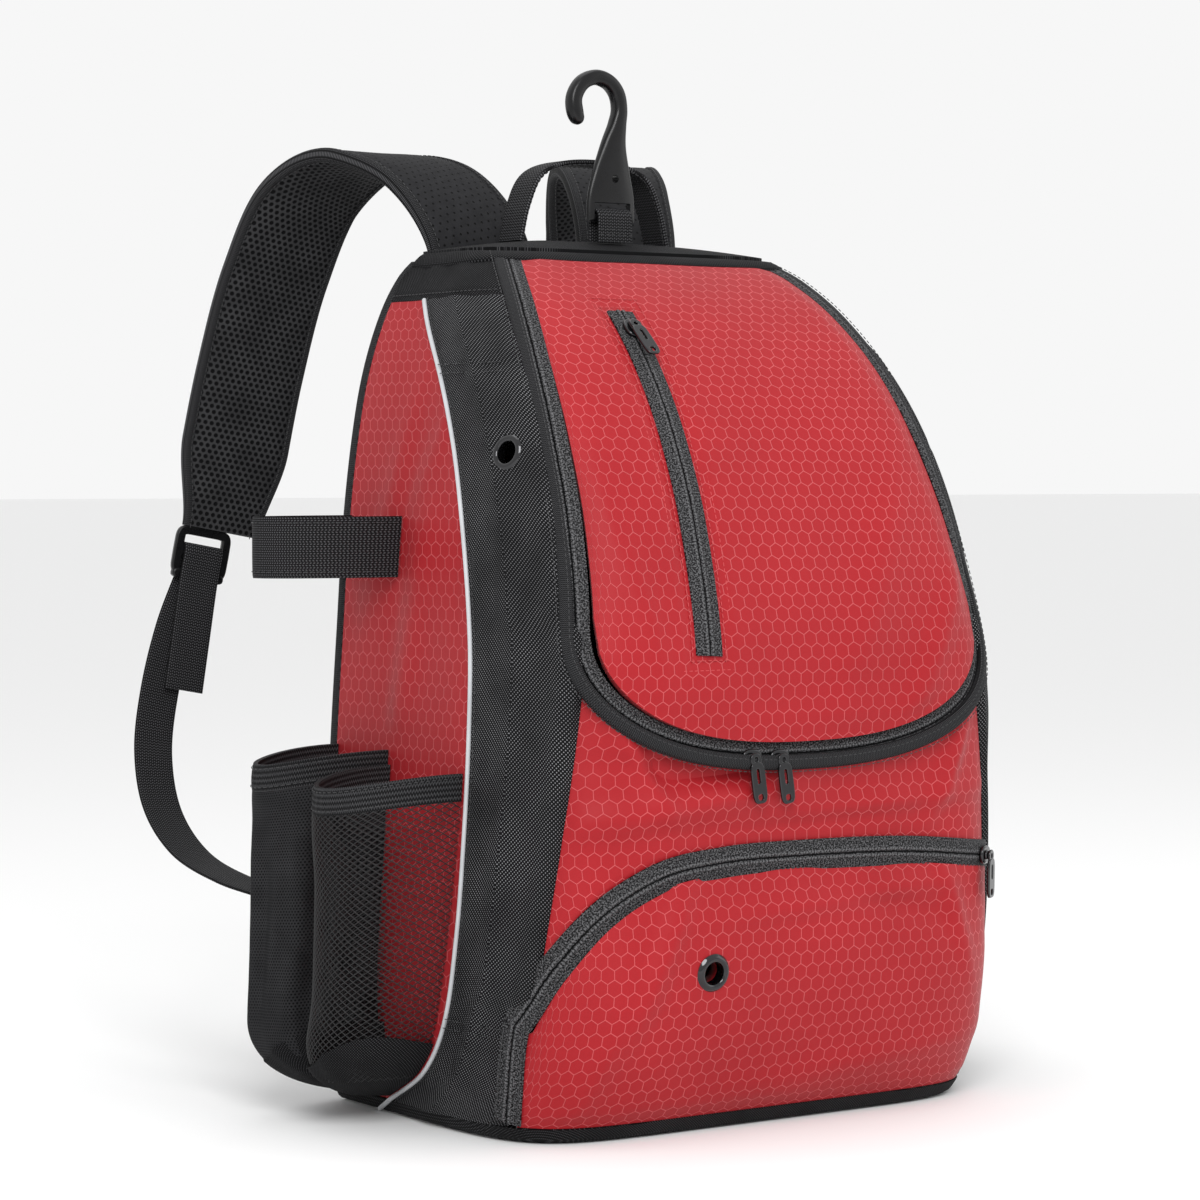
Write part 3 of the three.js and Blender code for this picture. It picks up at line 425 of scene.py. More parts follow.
def tape_cloth(name):
    """Zip tape: a speckled weave, a middle groove and a row of stitched coil on each side of it"""
    g = Graph(name, 0.65, Specular_IOR_Level=0.15)
    where = g.millimetres()
    across, along, _ = g.split(where)
    off = g.math("ABSOLUTE", g.math("SUBTRACT", across, TAPE_MIDDLE))
    groove = g.ramp(off, 0.2, 0.6)
    row = g.ramp(g.math("ABSOLUTE", g.math("SUBTRACT", off, 1.7)), 0.3, 0.9, 1, 0)
    coil = g.math("MULTIPLY", g.stripes(along, ZIP_COIL), row)
    speckle = g.ramp(g.noise(1.1, 1, where), 0.42, 0.66)
    bright = g.math("ADD", g.math("MULTIPLY", speckle, 0.8), g.math("MULTIPLY", coil, 0.7))
    g.colour(g.mix(g.math("MULTIPLY", bright, groove), BLACK, (0.13, 0.13, 0.135)))
    relief = g.math("MULTIPLY_ADD", coil, 0.9, g.math("MULTIPLY", speckle, 0.35))
    height = g.math("MULTIPLY", relief, groove)
    g.bump(g.math("ADD", height, g.math("MULTIPLY", groove, 0.8)), 0.45, 0.8)
    return g.material


def plain(name, colour, roughness, metallic=0.0, grain=60, relief=0.05, **settings):
    """A moulded, plated or thread finish with a fine uneven grain"""
    g = Graph(name, roughness, Metallic=metallic, **settings)
    worn = g.noise(grain, 5)
    dark, light = tuple(c * 0.75 for c in colour), tuple(min(c * 1.2, 1) for c in colour)
    g.colour(g.mix(worn, dark, light))
    rough = g.ramp(worn, 0.2, 0.8, roughness * 0.85, min(roughness * 1.2, 1))
    g.link(rough, g.shader.inputs["Roughness"])
    g.bump(worn, relief, 0.5)
    return g.material


def perforated(name):
    """Smooth strap cloth with rows of small punched holes"""
    g = Graph(name, 0.7, Specular_IOR_Level=0.12)
    _, middle = g.cells(g.millimetres(), STRAP_HOLES)
    uncut = g.ramp(middle, 0.10, 0.17)
    soft = g.noise(200, 3)
    ground = g.mix(soft, (0.009, 0.009, 0.010), (0.022, 0.022, 0.024))
    g.colour(g.mix(uncut, (0.001, 0.001, 0.001), ground))
    g.bump(g.math("MULTIPLY_ADD", soft, 0.06, uncut), 0.5, 0.8)
    return g.material


def paper(name):
    """Plain pale studio paper"""
    g = Graph(name, 0.9, Specular_IOR_Level=0.1)
    g.colour((0.9, 0.9, 0.9))
    return g.material


LOOKS = {
    "red": ripstop("red_ripstop", 1.0),
    # The side panels' red is the same cloth made darker: painted shade
    "red_side": ripstop("red_ripstop_side_shaded", 0.92),
    "oxford": oxford("black_oxford"),
    "chevron": oxford("black_chevron", 2.0, 0.25, 100.0, (0.24, 0.24, 0.25)),
    "webbing": ribbed("black_ribbed_webbing", 1.7, 2.6),
    "elastic": ribbed("black_elastic", 3.0, 1.4),
    "binding": ribbed("black_binding", 1.1, 1.1),
    "tape": tape_cloth("zip_tape_cloth"),
    "fine_mesh": mesh_cloth("black_fine_mesh", 1.9, 0.20, 0.3, (0.030, 0.030, 0.032)),
    "air_mesh": mesh_cloth("black_air_mesh", 4.0, 0.24, 0.9),
    "perforated": perforated("black_perforated"),
    "net": plain("black_net_yarn", (0.012, 0.012, 0.013), 0.55, relief=0.1, grain=300),
    "thread": plain("black_thread", (0.03, 0.03, 0.032), 0.5),
    "red_thread": plain("red_thread", (0.5, 0.045, 0.05), 0.5),
    "piping": plain("pale_piping_cloth", PALE, 0.35, relief=0.1, Sheen_Weight=0.2),
    "plastic": plain("black_satin_plastic", (0.004, 0.004, 0.0045), 0.28, relief=0.03, grain=160,
                     Specular_IOR_Level=0.3),
    "metal": plain("black_plated_metal", (0.02, 0.02, 0.022), 0.1, 0.9, relief=0.01, Coat_Weight=0.7),
    "inside": plain("black_lining", (0.004, 0.004, 0.004), 0.9),
    "floor": paper("floor_paper"),
}


# Mesh makers
def make_mesh(name, spots, faces, look, uv=None, flip=False, crease=40):
    """An object from points in the drawing frame; flip mirrors it across the middle plane"""
    spots = np.array(spots, float)
    if flip:
        spots[:, 0] *= -1
        faces = [face[::-1] for face in faces]
    spots[:, 1] += FORWARD
    mesh = bpy.data.meshes.new(name)
    mesh.from_pydata((spots * MM).tolist(), [], faces)
    looks = [look] if isinstance(look, str) else look
    for each in looks:
        mesh.materials.append(LOOKS[each])
    if uv is not None:
        layer = mesh.uv_layers.new(name="flat")
        corners = np.array([v for face in faces for v in face])
        layer.data.foreach_set("uv", (np.array(uv)[corners] * MM).ravel())
    mesh.shade_smooth()
    mesh.set_sharp_from_angle(angle=math.radians(crease))
    made = bpy.data.objects.new(name, mesh)
    bpy.context.scene.collection.objects.link(made)
    return made


def place(made, slot, *nodes):
    """The piece rides on the one body and stands for its CAD nodes"""
    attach(made, "root")
    if nodes:
        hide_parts(*nodes)
    return made


def sides(name):
    return ((f"{name}_left", False), (f"{name}_right", True))


def flat_lengths(grid):
    """Flat coordinates of a grid, as lengths across its middle row and up its middle column"""
    rows, columns = grid.shape[:2]
    across = np.linalg.norm(np.diff(grid[rows // 2], axis=0), axis=1)
    up = np.linalg.norm(np.diff(grid[:, columns // 2], axis=0), axis=1)
    u = np.concatenate([[0], np.cumsum(across)])
    v = np.concatenate([[0], np.cumsum(up)])
    return np.stack(np.meshgrid(u, v), axis=-1)


def cloth_lengths(grid):
    """Flat coordinates of a sewn panel: along each row, and up the panel by height"""
    steps = np.linalg.norm(np.diff(grid, axis=1), axis=2)
    u = np.concatenate([np.zeros((len(grid), 1)), np.cumsum(steps, axis=1)], axis=1)
    u = u - u[:, u.shape[1] // 2][:, None] + FLAT_MIDDLE
    middle = grid[:, grid.shape[1] // 2]
    rise = np.concatenate([[0], np.cumsum(np.linalg.norm(np.diff(middle, axis=0), axis=1))])
    z = grid[..., 2]
    beyond = np.maximum(z - middle[-1, 2], 0) + np.minimum(z - middle[0, 2], 0)
    v = np.interp(z, middle[:, 2], rise) + beyond + FLAT_MIDDLE
    return np.stack([u, v], axis=-1)


def wall(name, outer, inner, look, uv=None, flip=False, crease=40):
    """A closed wall between two grids of points, the outer one first"""
    rows, columns = outer.shape[:2]
    count = rows * columns
    at = np.arange(count).reshape(rows, columns)

    def quads(a, b, c, d):
        return np.stack([a.ravel(), b.ravel(), c.ravel(), d.ravel()], axis=1).tolist()

    faces = quads(at[:-1, :-1], at[:-1, 1:], at[1:, 1:], at[1:, :-1])
    back = at + count
    faces += quads(back[:-1, :-1], back[1:, :-1], back[1:, 1:], back[:-1, 1:])
    for line, near, far in ((at[0], 0, 1), (at[-1], 1, 0), (at[:, 0], 1, 0), (at[:, -1], 0, 1)):
        ends = (line[:-1], line[1:])
        faces += quads(ends[far], ends[near], ends[near] + count, ends[far] + count)
    flat = flat_lengths(outer) if uv is None else uv
    flat = np.concatenate([flat.reshape(-1, 2)] * 2)
    spots = np.concatenate([outer.reshape(-1, 3), inner.reshape(-1, 3)])
    return make_mesh(name, spots, faces, look, flat, flip, crease)


def directions(path):
    along = np.empty_like(path)
    along[1:-1] = path[2:] - path[:-2]
    along[0] = path[1] - path[0]
    along[-1] = path[-1] - path[-2]
    return unit(along)


def swept(name, path, across, profile, look, scale=None, flip=False, crease=50, split=None):
    """A closed profile of (across, facing) swept along a path. split names the faces that
    take the second look, from their middle's facing."""
    along = directions(path)
    facing = unit(np.cross(along, across))
    across = unit(np.cross(facing, along))
    profile = np.array(profile, float)
    scale = np.ones((len(path), 2)) if scale is None else scale
    spots = (path[:, None] + across[:, None] * (profile[:, 0] * scale[:, :1])[..., None]
             + facing[:, None] * (profile[:, 1] * scale[:, 1:])[..., None])
    rings, sides_ = spots.shape[:2]
    at = np.arange(rings * sides_).reshape(rings, sides_)
    turned = np.roll(at, -1, axis=1)
    faces = np.stack([at[:-1], turned[:-1], turned[1:], at[1:]], axis=-1).reshape(-1, 4).tolist()
    faces += [at[0][::-1].tolist(), at[-1].tolist()]
    run = np.concatenate([[0], np.cumsum(np.linalg.norm(np.diff(path, axis=0), axis=1))])
    width = profile[:, 0] * scale[:, :1] + SWEPT_MIDDLE
    flat = np.stack(np.broadcast_arrays(width, run[:, None]), axis=-1)
    made = make_mesh(name, spots.reshape(-1, 3), faces, look, flat.reshape(-1, 2), flip, crease)
    if split is not None:
        middle = (profile[:, 1] + np.roll(profile[:, 1], -1)) / 2
        second = np.tile(split(middle), rings - 1).astype(np.int32)
        second = np.concatenate([second, [0, 0]])
        made.data.polygons.foreach_set("material_index", second)
    return made


def rounded(wide, thick, squareness, count):
    """A round-cornered closed profile"""
    a = (np.arange(count) + 0.5) / count * 2 * math.pi
    reach = (np.abs(np.cos(a)) ** squareness + np.abs(np.sin(a)) ** squareness) ** (-1 / squareness)
    return np.stack([reach * np.cos(a) * wide / 2, reach * np.sin(a) * thick / 2], axis=1)


def band_profile(wide, thick):
    """A flat band with rounded edges"""
    edge = thick / 2
    a = np.linspace(-math.pi / 2, math.pi / 2, 5)
    right = np.stack([wide / 2 - edge + np.cos(a) * edge, np.sin(a) * edge], axis=1)
    inner = np.linspace(wide / 2 - edge, -wide / 2 + edge, 7)[1:-1]
    top = np.stack([inner, np.full(5, edge)], axis=1)
    return np.vstack([right, top, -right, -top])


def surface_line(angle, z, lift):
    """Points on the skin along a line, and the outward directions there"""
    return skin(angle, z, lift), skin_normal(angle, z)


def strip(name, angle, z, profile, look, lift=0):
    """A strip along a line of the skin; profile is open, of (offset, lift) across it"""
    path, outward = surface_line(angle, z, np.broadcast_to(lift, np.shape(z)))
    side = unit(np.cross(outward, directions(path)))
    profile = np.array(profile, float)
    outer = path[:, None] + side[:, None] * profile[:, :1] + outward[:, None] * profile[:, 1:]
    low = np.minimum(profile[:, 1] - 0.8, 0.2)
    inner = path[:, None] + side[:, None] * profile[:, :1] + outward[:, None] * low[:, None]
    run = np.concatenate([[0], np.cumsum(np.linalg.norm(np.diff(path, axis=0), axis=1))])
    flat = np.stack(np.broadcast_arrays(profile[:, 0] + TAPE_MIDDLE, run[:, None]), axis=-1)
    return wall(name, outer, inner, look, flat, crease=60)


STITCH_PITCH = 3.4
STITCH_LENGTH = 2.4
STITCH_THICK = 0.55
STITCH_CORNERS = 6


def sew(name, rows, slot, flip=False, look="thread"):
    """A piece of small sewn stitches; each row is (path, outward directions)"""
    spots, faces = [], []
    corners = STITCH_CORNERS
    for path, outward in rows:
        count = max(int(np.linalg.norm(np.diff(path, axis=0), axis=1).sum() / STITCH_PITCH), 2)
        both = even(np.hstack([path, outward]), count)
        centres, facing = both[:, :3], unit(both[:, 3:])
        along = directions(centres)
        side = np.cross(facing, along)
        for c, f, t, s in zip(centres, facing, along, side):
            start = len(spots)
            for reach, size in ((-0.5, 0.35), (-0.3, 1), (0.3, 1), (0.5, 0.35)):
                for k in range(corners):
                    a = k / corners * 2 * math.pi
                    spots.append(c + t * reach * STITCH_LENGTH
                                 + (s * math.cos(a) + f * math.sin(a)) * STITCH_THICK / 2 * size)
            for ring in range(3):
                for k in range(corners):
                    a = start + ring * corners + k
                    b = start + ring * corners + (k + 1) % corners
                    faces.append((a, b, b + corners, a + corners))
            faces.append(tuple(start + k for k in reversed(range(corners))))
            faces.append(tuple(start + 3 * corners + k for k in range(corners)))
    place(make_mesh(f"{name}_stitches", np.array(spots), faces, look, None, flip, 60), slot)


def fold(x, z, middle_x, middle_z, turn, long_, wide, height):
    """One soft fold of cloth: a ridge about a line through a point"""
    a = math.radians(turn)
    s = (x - middle_x) * math.cos(a) + (z - middle_z) * math.sin(a)
    t = -(x - middle_x) * math.sin(a) + (z - middle_z) * math.cos(a)
    return height * np.exp(-(s / long_) ** 2 - (t / wide) ** 2)


def folded(x, z, table):
    """Folds of cloth: each row has the middle, the turn, and the length, width and height"""
    return sum(fold(x, z, *row) for row in table)


def ripples(x, z, size, height):
    """Uneven cloth as a few crossing waves"""
    waves = ((1.0, 0.3, 0.4), (-0.6, 0.9, 1.7), (0.35, -1.3, 2.9), (1.7, 1.1, 0.8))
    total = sum(np.sin((x * a + z * b) / size + c) for a, b, c in waves)
    return height * total / len(waves)


def cut(made, cutter):
    """Takes a cutter's shape out of a piece"""
    modifier = made.modifiers.new("cut", "BOOLEAN")
    modifier.operation = "DIFFERENCE"
    modifier.solver = "EXACT"
    modifier.object = cutter
    bpy.context.view_layer.objects.active = made
    bpy.ops.object.modifier_apply(modifier=modifier.name)
    bpy.data.objects.remove(cutter)


# Front panels of red cloth
def front_grid(columns, rows, reach, low, high, lift):
    q, v = np.meshgrid(np.linspace(-reach, reach, columns + 1), np.linspace(0, 1, rows + 1))
    z = low(q) + v * (high(q) - low(q))
    x = q * front_half(z)
    angle = front_angle(x, z)
    margin = np.minimum((reach - np.abs(q)) * front_half(z), v * (high(q) - low(q)))
    return skin(angle, z, lift(q, v, x, z, margin)), skin(angle, z, -CLOTH + 0 * z)


FLAP_FOLDS = [
    (96, 262, 60, 60, 9, 1.6), (62, 300, 62, 70, 14, 1.2),
    (-102, 290, 100, 50, 8, 1.0), (20, 240, 8, 70, 9, -0.8),
]
MIDDLE_FOLDS = [
    (-70, 182, 8, 90, 10, 3.0), (-60, 198, -6, 70, 8, -2.0), (-110, 210, -58, 45, 7, 2.2),
    (60, 176, 4, 90, 9, 2.0), (110, 200, 62, 36, 7, 2.0), (10, 168, 2, 80, 6, -1.2),
]
POCKET_FOLDS = [
    (-96, 96, 66, 50, 8, 2.0), (-122, 60, 78, 46, 7, 1.6), (30, 126, 4, 90, 7, 1.6),
    (110, 112, -70, 34, 7, 1.6), (70, 118, -14, 60, 8, -1.2), (60, 34, 6, 100, 10, 1.0),
]
SIDE_FOLDS = [
    (70, 250, 80, 90, 12, 2.2), (40, 330, 75, 80, 11, 1.8),
    (90, 380, 60, 40, 8, 1.4), (55, 280, 85, 100, 10, -1.4),
]
FLAP_REACH = 0.943
FLAP_INSET = 6.5
FLAP_PROUD = 4.0


def flap_low(q):
    return FLAP_BOTTOM + FLAP_INSET + (FLAP_CORNER - FLAP_INSET / 2) * inset_shape(q / FLAP_REACH)


def chest_side(z):
    middle = CHEST_ZIP_TOP - CHEST_ZIP_LENGTH / 2
    return CHEST_ZIP_SIDE + CHEST_ZIP_LEAN * (np.asarray(z, float) - middle) / (CHEST_ZIP_LENGTH / 2)


def near_bottom(z):
    return smooth(330, 235, z)


def make_flap():
    def lift(q, v, x, z, margin):
        swell = 0.8 + FLAP_PROUD * near_bottom(z) + 1.4 * smooth(0, 14, margin)
        beside = np.abs(x - chest_side(z)) - CHEST_ZIP_WIDTH / 2
        along = smooth(CHEST_ZIP_TOP + 10, CHEST_ZIP_TOP + 2, z) * smooth(250, 258, z)
        dip = 1.1 * along * smooth(10, 2, beside)
        folds = 2.0 * folded(x, z, FLAP_FOLDS) * smooth(0, 10, margin)
        return swell - dip + folds + ripples(x, z, 26, 0.7)

    outer, inner = front_grid(110, 110, FLAP_REACH, flap_low, lambda q: BODY_HEIGHT - 5 + 0 * q, lift)
    flap = wall("flap_cloth", outer, inner, "red", cloth_lengths(outer))
    place(flap, "red_ripstop", "flap")


def make_middle():
    def lift(q, v, x, z, margin):
        folds = 2.2 * folded(x, z, MIDDLE_FOLDS)
        return -0.6 + (folds + ripples(x, z, 15, 1.2)) * smooth(0, 12, margin)

    outer, inner = front_grid(
        130, 60, 0.992, lambda q: lower_edge(q) + 5, lambda q: flap_edge(q) - 4, lift)
    panel = wall("middle_panel_cloth", outer, inner, "red", cloth_lengths(outer))
    place(panel, "red_ripstop", "middle_panel")


def pocket_lift(q, v, x, z, margin):
    puff = LOWER_POCKET_BULGE * (1 - np.abs(q) ** 4) * np.sin(np.pi * np.clip(v, 0, 1))
    folds = 2.1 * folded(x, z, POCKET_FOLDS) + ripples(x, z, 21, 0.9)
    return puff + 1.2 * smooth(0, 9, margin) + folds * smooth(0, 12, margin)


POCKET_EYELET = (-62, 92)
EYELET_HEIGHT = 0.765 * BODY_HEIGHT
EYELET_PLACE = 0.6
EYELET_OUTER = 10.5
EYELET_HOLE = 6
EYELET_SIDES = 48
HOLE_ROOM = 0.6
HOLE_SIDES = 40


def cut_hole(made, centre, outward, radius, reach, flip=False):
    """Cuts a round hole, reach deep each way from the centre"""
    turn = np.linspace(0, 2 * math.pi, HOLE_SIDES + 1)[:-1]
    side = unit(np.cross((0, 0, 1), outward))
    up = np.cross(outward, side)
    ring = centre + radius * (np.cos(turn)[:, None] * side + np.sin(turn)[:, None] * up)
    spots = np.vstack([ring - outward * reach, ring + outward * reach])
    k = np.arange(HOLE_SIDES)
    after = (k + 1) % HOLE_SIDES
    faces = np.stack([k, after, after + HOLE_SIDES, k + HOLE_SIDES], axis=1).tolist()
    faces += [k[::-1].tolist(), (k + HOLE_SIDES).tolist()]
    cut(made, make_mesh("cutter", spots, faces, "inside", None, flip))


def make_lower_pocket():
    outer, inner = front_grid(
        130, 90, 0.986, lambda q: WALL_FOOT + 0 * q, lambda q: lower_edge(q / 0.975) - 6, pocket_lift)
    pocket = wall("lower_pocket_cloth", outer, inner, "red", cloth_lengths(outer))
    x, z = POCKET_EYELET
    angle = front_angle(x, z)
    cut_hole(pocket, *surface_line(angle, z, 0), EYELET_HOLE + HOLE_ROOM, 24)
    place(pocket, "red_ripstop", "lower_pocket")


# Side panels, gussets, piping and yokes
def side_rows(count):
    return WALL_FOOT + np.linspace(0, 1, count) * (SIDE_TOP - WALL_FOOT)


def make_sides():
    u, z = np.meshgrid(np.linspace(0, 1, 46), side_rows(130))
    y = u * (seam(z) - 0.3)
    angle = side_angle(y, z)
    edge = smooth(0, 10, np.minimum(y, seam(z) - y))
    lift = (folded(y, z, SIDE_FOLDS) + ripples(y, z, 19, 0.8)) * edge * smooth(204, 230, z)
    for name, flip in sides("side_panel"):
        outer, inner = skin(angle, z, lift), skin(angle, z, 0 * z - CLOTH)
        # The side panels wear the darker copy of the red, as painted shade
        piece = wall(f"{name}_cloth", outer, inner, "red_side", cloth_lengths(outer), flip)
        place(piece, "red_ripstop", name)


GUSSET_RIDGE = 0.45
GUSSET_POINTS = 60
GUSSET_SEAMS = (60, 415)


def gusset_place(u, z, foot=70):
    start = side_angle(seam(z) + 3.1, z)
    over = 4.0 * smooth(284, 270, z) * smooth(foot, foot + 12, z)
    return start + u * (front_angle(-front_half(z) + over, z) - start)


def make_gussets():
    u, z = np.meshgrid(np.linspace(0, 1, GUSSET_POINTS), side_rows(170))
    eyelet = gusset_place(EYELET_PLACE, EYELET_HEIGHT)
    middle = surface_line(eyelet, EYELET_HEIGHT, 0)
    for name, flip in sides("gusset"):
        foot = -20 if flip else 70
        angle = gusset_place(u, z, foot)
        ridge = 1.7 * np.exp(-((u - GUSSET_RIDGE) / 0.10) ** 2)
        below = smooth(290, 268, z) * smooth(foot, foot + 12, z)
        edge = np.maximum(smooth(1.0, 0.86, u), below * smooth(1.0, 0.95, u))
        roll = 1.2 * smooth(0, 0.12, u) * edge
        bead = 2.6 * np.exp(-((u - 0.84) / 0.10) ** 2)
        roll = roll + bead * smooth(180, 230, z) * smooth(450, 420, z)
        roll = roll + 2.2 * below * smooth(0.75, 0.88, u) * smooth(1.0, 0.95, u)
        uneven = ripples(u * 60, z, 24, 0.6) + fold(u * 60, z, 30, 372, 0, 40, 2.0, -0.5)
        lift = roll + (ridge + uneven) * smooth(0, 0.1, u) * smooth(1, 0.85, u)
        for seam_height in GUSSET_SEAMS:
            lift = lift - 0.9 * np.exp(-((z - seam_height) / 1.2) ** 2)
        outer, inner = skin(angle, z, lift), skin(angle, z, 0 * z - CLOTH)
        flat = cloth_lengths(outer)
        flat[..., 0] += 100 - flat[:, int(GUSSET_POINTS * GUSSET_RIDGE), 0][:, None]
        piece = wall(f"{name}_cloth", outer, inner, "chevron", flat, flip)
        cut_hole(piece, *middle, EYELET_HOLE + HOLE_ROOM, 16, flip)
        place(piece, "black_cloth", name)
        line = side_rows(120)
        rows = [surface_line(gusset_place(at, line, foot), line, 1.15) for at in (0.055, 0.90)]
        across = np.linspace(0.03, 0.9, 30)
        for seam_height in GUSSET_SEAMS:
            for off in (-2.5, 2.5):
                level = np.full(30, seam_height + off)
                rows.append(surface_line(gusset_place(across, level, foot), level, 1.9))
        sew(name, rows, "black_cloth", flip)


def make_piping():
    z = np.linspace(2.0, SIDE_TOP, 170)
    angle = side_angle(seam(z) + 1.9, z)
    path, outward = surface_line(angle, z, 0.3 + 0.9 * smooth(WALL_FOOT + 4, WALL_FOOT, z))
    for name, flip in sides("piping"):
        across = np.cross(outward, directions(path))
        place(swept(f"{name}_cord", path, across, rounded(2.7, 2.6, 2.2, 14), "piping", None, flip),
              "pale_piping", name)


def make_yokes():
    u, v = np.meshgrid(np.linspace(0, 1, 90), np.linspace(0, 1, 30))
    z = SIDE_TOP + 0.3 + v * (BODY_HEIGHT - 3 - SIDE_TOP - 0.3)
    angle = u * front_angle(-front_half(z), z)
    edge = np.minimum(smooth(0, 0.25, v), smooth(1, 0.8, v))
    lift = 1.3 * edge + 0.5 * np.sin(u * 21) * edge * smooth(0.6, 0.2, np.abs(u - 0.5))
    for name, flip in sides("yoke"):
        outer, inner = skin(angle, z, lift), skin(angle, z, 0 * z - CLOTH)
        place(wall(f"{name}_cloth", outer, inner, "oxford", None, flip), "black_cloth", name)
        line = np.linspace(0.02, 0.9, 60)
        height = np.full(60, SIDE_TOP + 3.0)
        at = line * front_angle(-front_half(height), height)
        sew(name, [surface_line(at, height, 1.3)], "black_cloth", flip)


# Zips
def flap_line():
    corner = FLAP_BOTTOM + FLAP_CORNER
    leg = np.linspace(BODY_HEIGHT - 2, corner, 60, endpoint=False)
    turn = -np.cos(np.linspace(0, math.pi, 130))
    q = np.concatenate([np.full(60, -1.0), turn, np.full(60, 1.0)])
    z = np.concatenate([leg, flap_edge(turn), leg[::-1]])
    return q, z


def tape_profile(width):
    half = width / 2
    return [(half, 0.7), (half - 0.5, 1.1), (3.4, 1.2), (2.6, 1.9), (0.7, 1.9), (0.0, 1.2),
            (-0.7, 1.9), (-2.6, 1.9), (-3.4, 1.2), (0.5 - half, 1.1), (-half, 0.7)]


def make_flap_zip():
    q, z = flap_line()
    angle = front_angle(q * front_half(z), z)
    tape = strip("flap_zip_tape", angle, z, tape_profile(TAPE_WIDTH), "tape")
    place(tape, "zip_tape", "flap_zip")
    path, outward = surface_line(angle, z, 0 * z)
    inward = unit(np.cross(directions(path), outward))
    low = near_bottom(z)[:, None]
    roll = path + inward * 4.6 + outward * (1.0 + 2.6 * low)
    inner_edge = swept("flap_binding", roll, inward, rounded(1, 1, 2.6, 16), "binding",
                       np.hstack([7.2 + 1.2 * low, 2.8 + 3.6 * low]))
    place(inner_edge, "zip_tape")
    rows = [(path + inward * 3.0 + outward * (2.3 + 4.2 * low), outward),
            (path + inward * 9.6 + outward * (2.4 + 3.6 * low), outward)]
    sew("flap_binding", rows, "zip_tape")


def lower_line():
    spots = LOWER_SPOTS
    foot = np.linspace(spots[-1, 1] * LOWER_POCKET_HEIGHT, WALL_FOOT + 3, 40)[1:]
    q = np.concatenate([spots[:, 0], np.full(len(foot), -1.0)])
    z = np.concatenate([spots[:, 1] * LOWER_POCKET_HEIGHT, foot])
    return q, z


def make_lower_zip():
    q, z = lower_line()
    angle = front_angle(q * front_half(z), z)
    tape = strip("lower_zip_tape", angle, z, tape_profile(TAPE_WIDTH + 2), "tape", lift=0.6)
    place(tape, "zip_tape", "lower_zip")
    path, outward = surface_line(angle, z, 0 * z)
    inward = unit(np.cross(outward, directions(path)))
    rows = [(path + inward * side + outward * 1.9, outward) for side in (6.6, -6.6)]
    sew("lower_zip", rows, "zip_tape")


def make_chest_zip():
    z = np.linspace(CHEST_ZIP_TOP, CHEST_ZIP_TOP - CHEST_ZIP_LENGTH, 90)
    angle = front_angle(chest_side(z), z)
    proud = 1.5 + FLAP_PROUD * near_bottom(z)
    tape = strip("chest_zip_tape", angle, z, tape_profile(CHEST_ZIP_WIDTH), "tape", lift=proud)
    place(tape, "zip_tape", "chest_zip")
    rows = []
    half = CHEST_ZIP_WIDTH / 2
    for off in (half + 2.4, half + 7.5):
        top, foot = CHEST_ZIP_TOP + off - half, CHEST_ZIP_TOP - CHEST_ZIP_LENGTH - off + half
        for side in (-off, off):
            line = np.linspace(top, foot, 90)
            at = front_angle(chest_side(line) + side, line)
            rows.append(surface_line(at, line, 1.9 + FLAP_PROUD * near_bottom(line)))
        for height in (top, foot):
            x = float(chest_side(height)) + np.linspace(-off, off, 12)
            level = np.full(12, height)
            at = front_angle(x, level)
            rows.append(surface_line(at, level, 2.2 + FLAP_PROUD * near_bottom(level)))
    sew("chest_zip", rows, "red_ripstop", look="red_thread")


def plate(name, outline, holes, thick, look, bevel):
    """A flat plate with rounded edges and holes, drawn about its middle in millimetres"""
    curve = bpy.data.curves.new(name, "CURVE")
    curve.dimensions = "2D"
    curve.fill_mode = "BOTH"
    curve.extrude = (thick / 2 - bevel) * MM
    curve.bevel_depth = bevel * MM
    curve.bevel_resolution = 2
    for ring in (outline, *holes):
        spline = curve.splines.new("POLY")
        spline.points.add(len(ring) - 1)
        for point, (x, y) in zip(spline.points, ring):
            point.co = (x * MM, y * MM, 0, 1)
        spline.use_cyclic_u = True
    drawn = bpy.data.objects.new(name, curve)
    bpy.context.scene.collection.objects.link(drawn)
    bpy.context.view_layer.update()
    mesh = bpy.data.meshes.new_from_object(drawn)
    bpy.data.objects.remove(drawn)
    mesh.materials.clear()
    mesh.materials.append(LOOKS[look])
    mesh.shade_smooth()
    mesh.set_sharp_from_angle(angle=math.radians(35))
    made = bpy.data.objects.new(name, mesh)
    bpy.context.scene.collection.objects.link(made)
    return made


LOOP_POINTS = 32


def loop(wide, high, middle, corner):
    """A rounded loop: corner 0.5 is nearly a box and 1 an ellipse"""
    a = np.arange(LOOP_POINTS) / LOOP_POINTS * 2 * math.pi
    x = np.sign(np.cos(a)) * np.abs(np.cos(a)) ** corner * wide / 2 + middle[0]
    y = np.sign(np.sin(a)) * np.abs(np.sin(a)) ** corner * high / 2 + middle[1]
    return list(zip(x, y))


def settle(made, origin, across, up, outward):
    """Moves a piece drawn about its own middle to a place in the drawing frame"""
    turn = np.stack([across, up, outward], axis=1)
    spots = np.array([v.co for v in made.data.vertices]) @ turn.T
    spots += (np.array(origin, float) + (0, FORWARD, 0)) * MM
    made.data.vertices.foreach_set("co", spots.astype(np.float32).ravel())
    made.data.update()
    return made


def joined(name, pieces):
    bpy.ops.object.select_all(action="DESELECT")
    for piece in pieces:
        piece.select_set(True)
    bpy.context.view_layer.objects.active = pieces[0]
    bpy.ops.object.join()
    pieces[0].name = name
    return pieces[0]


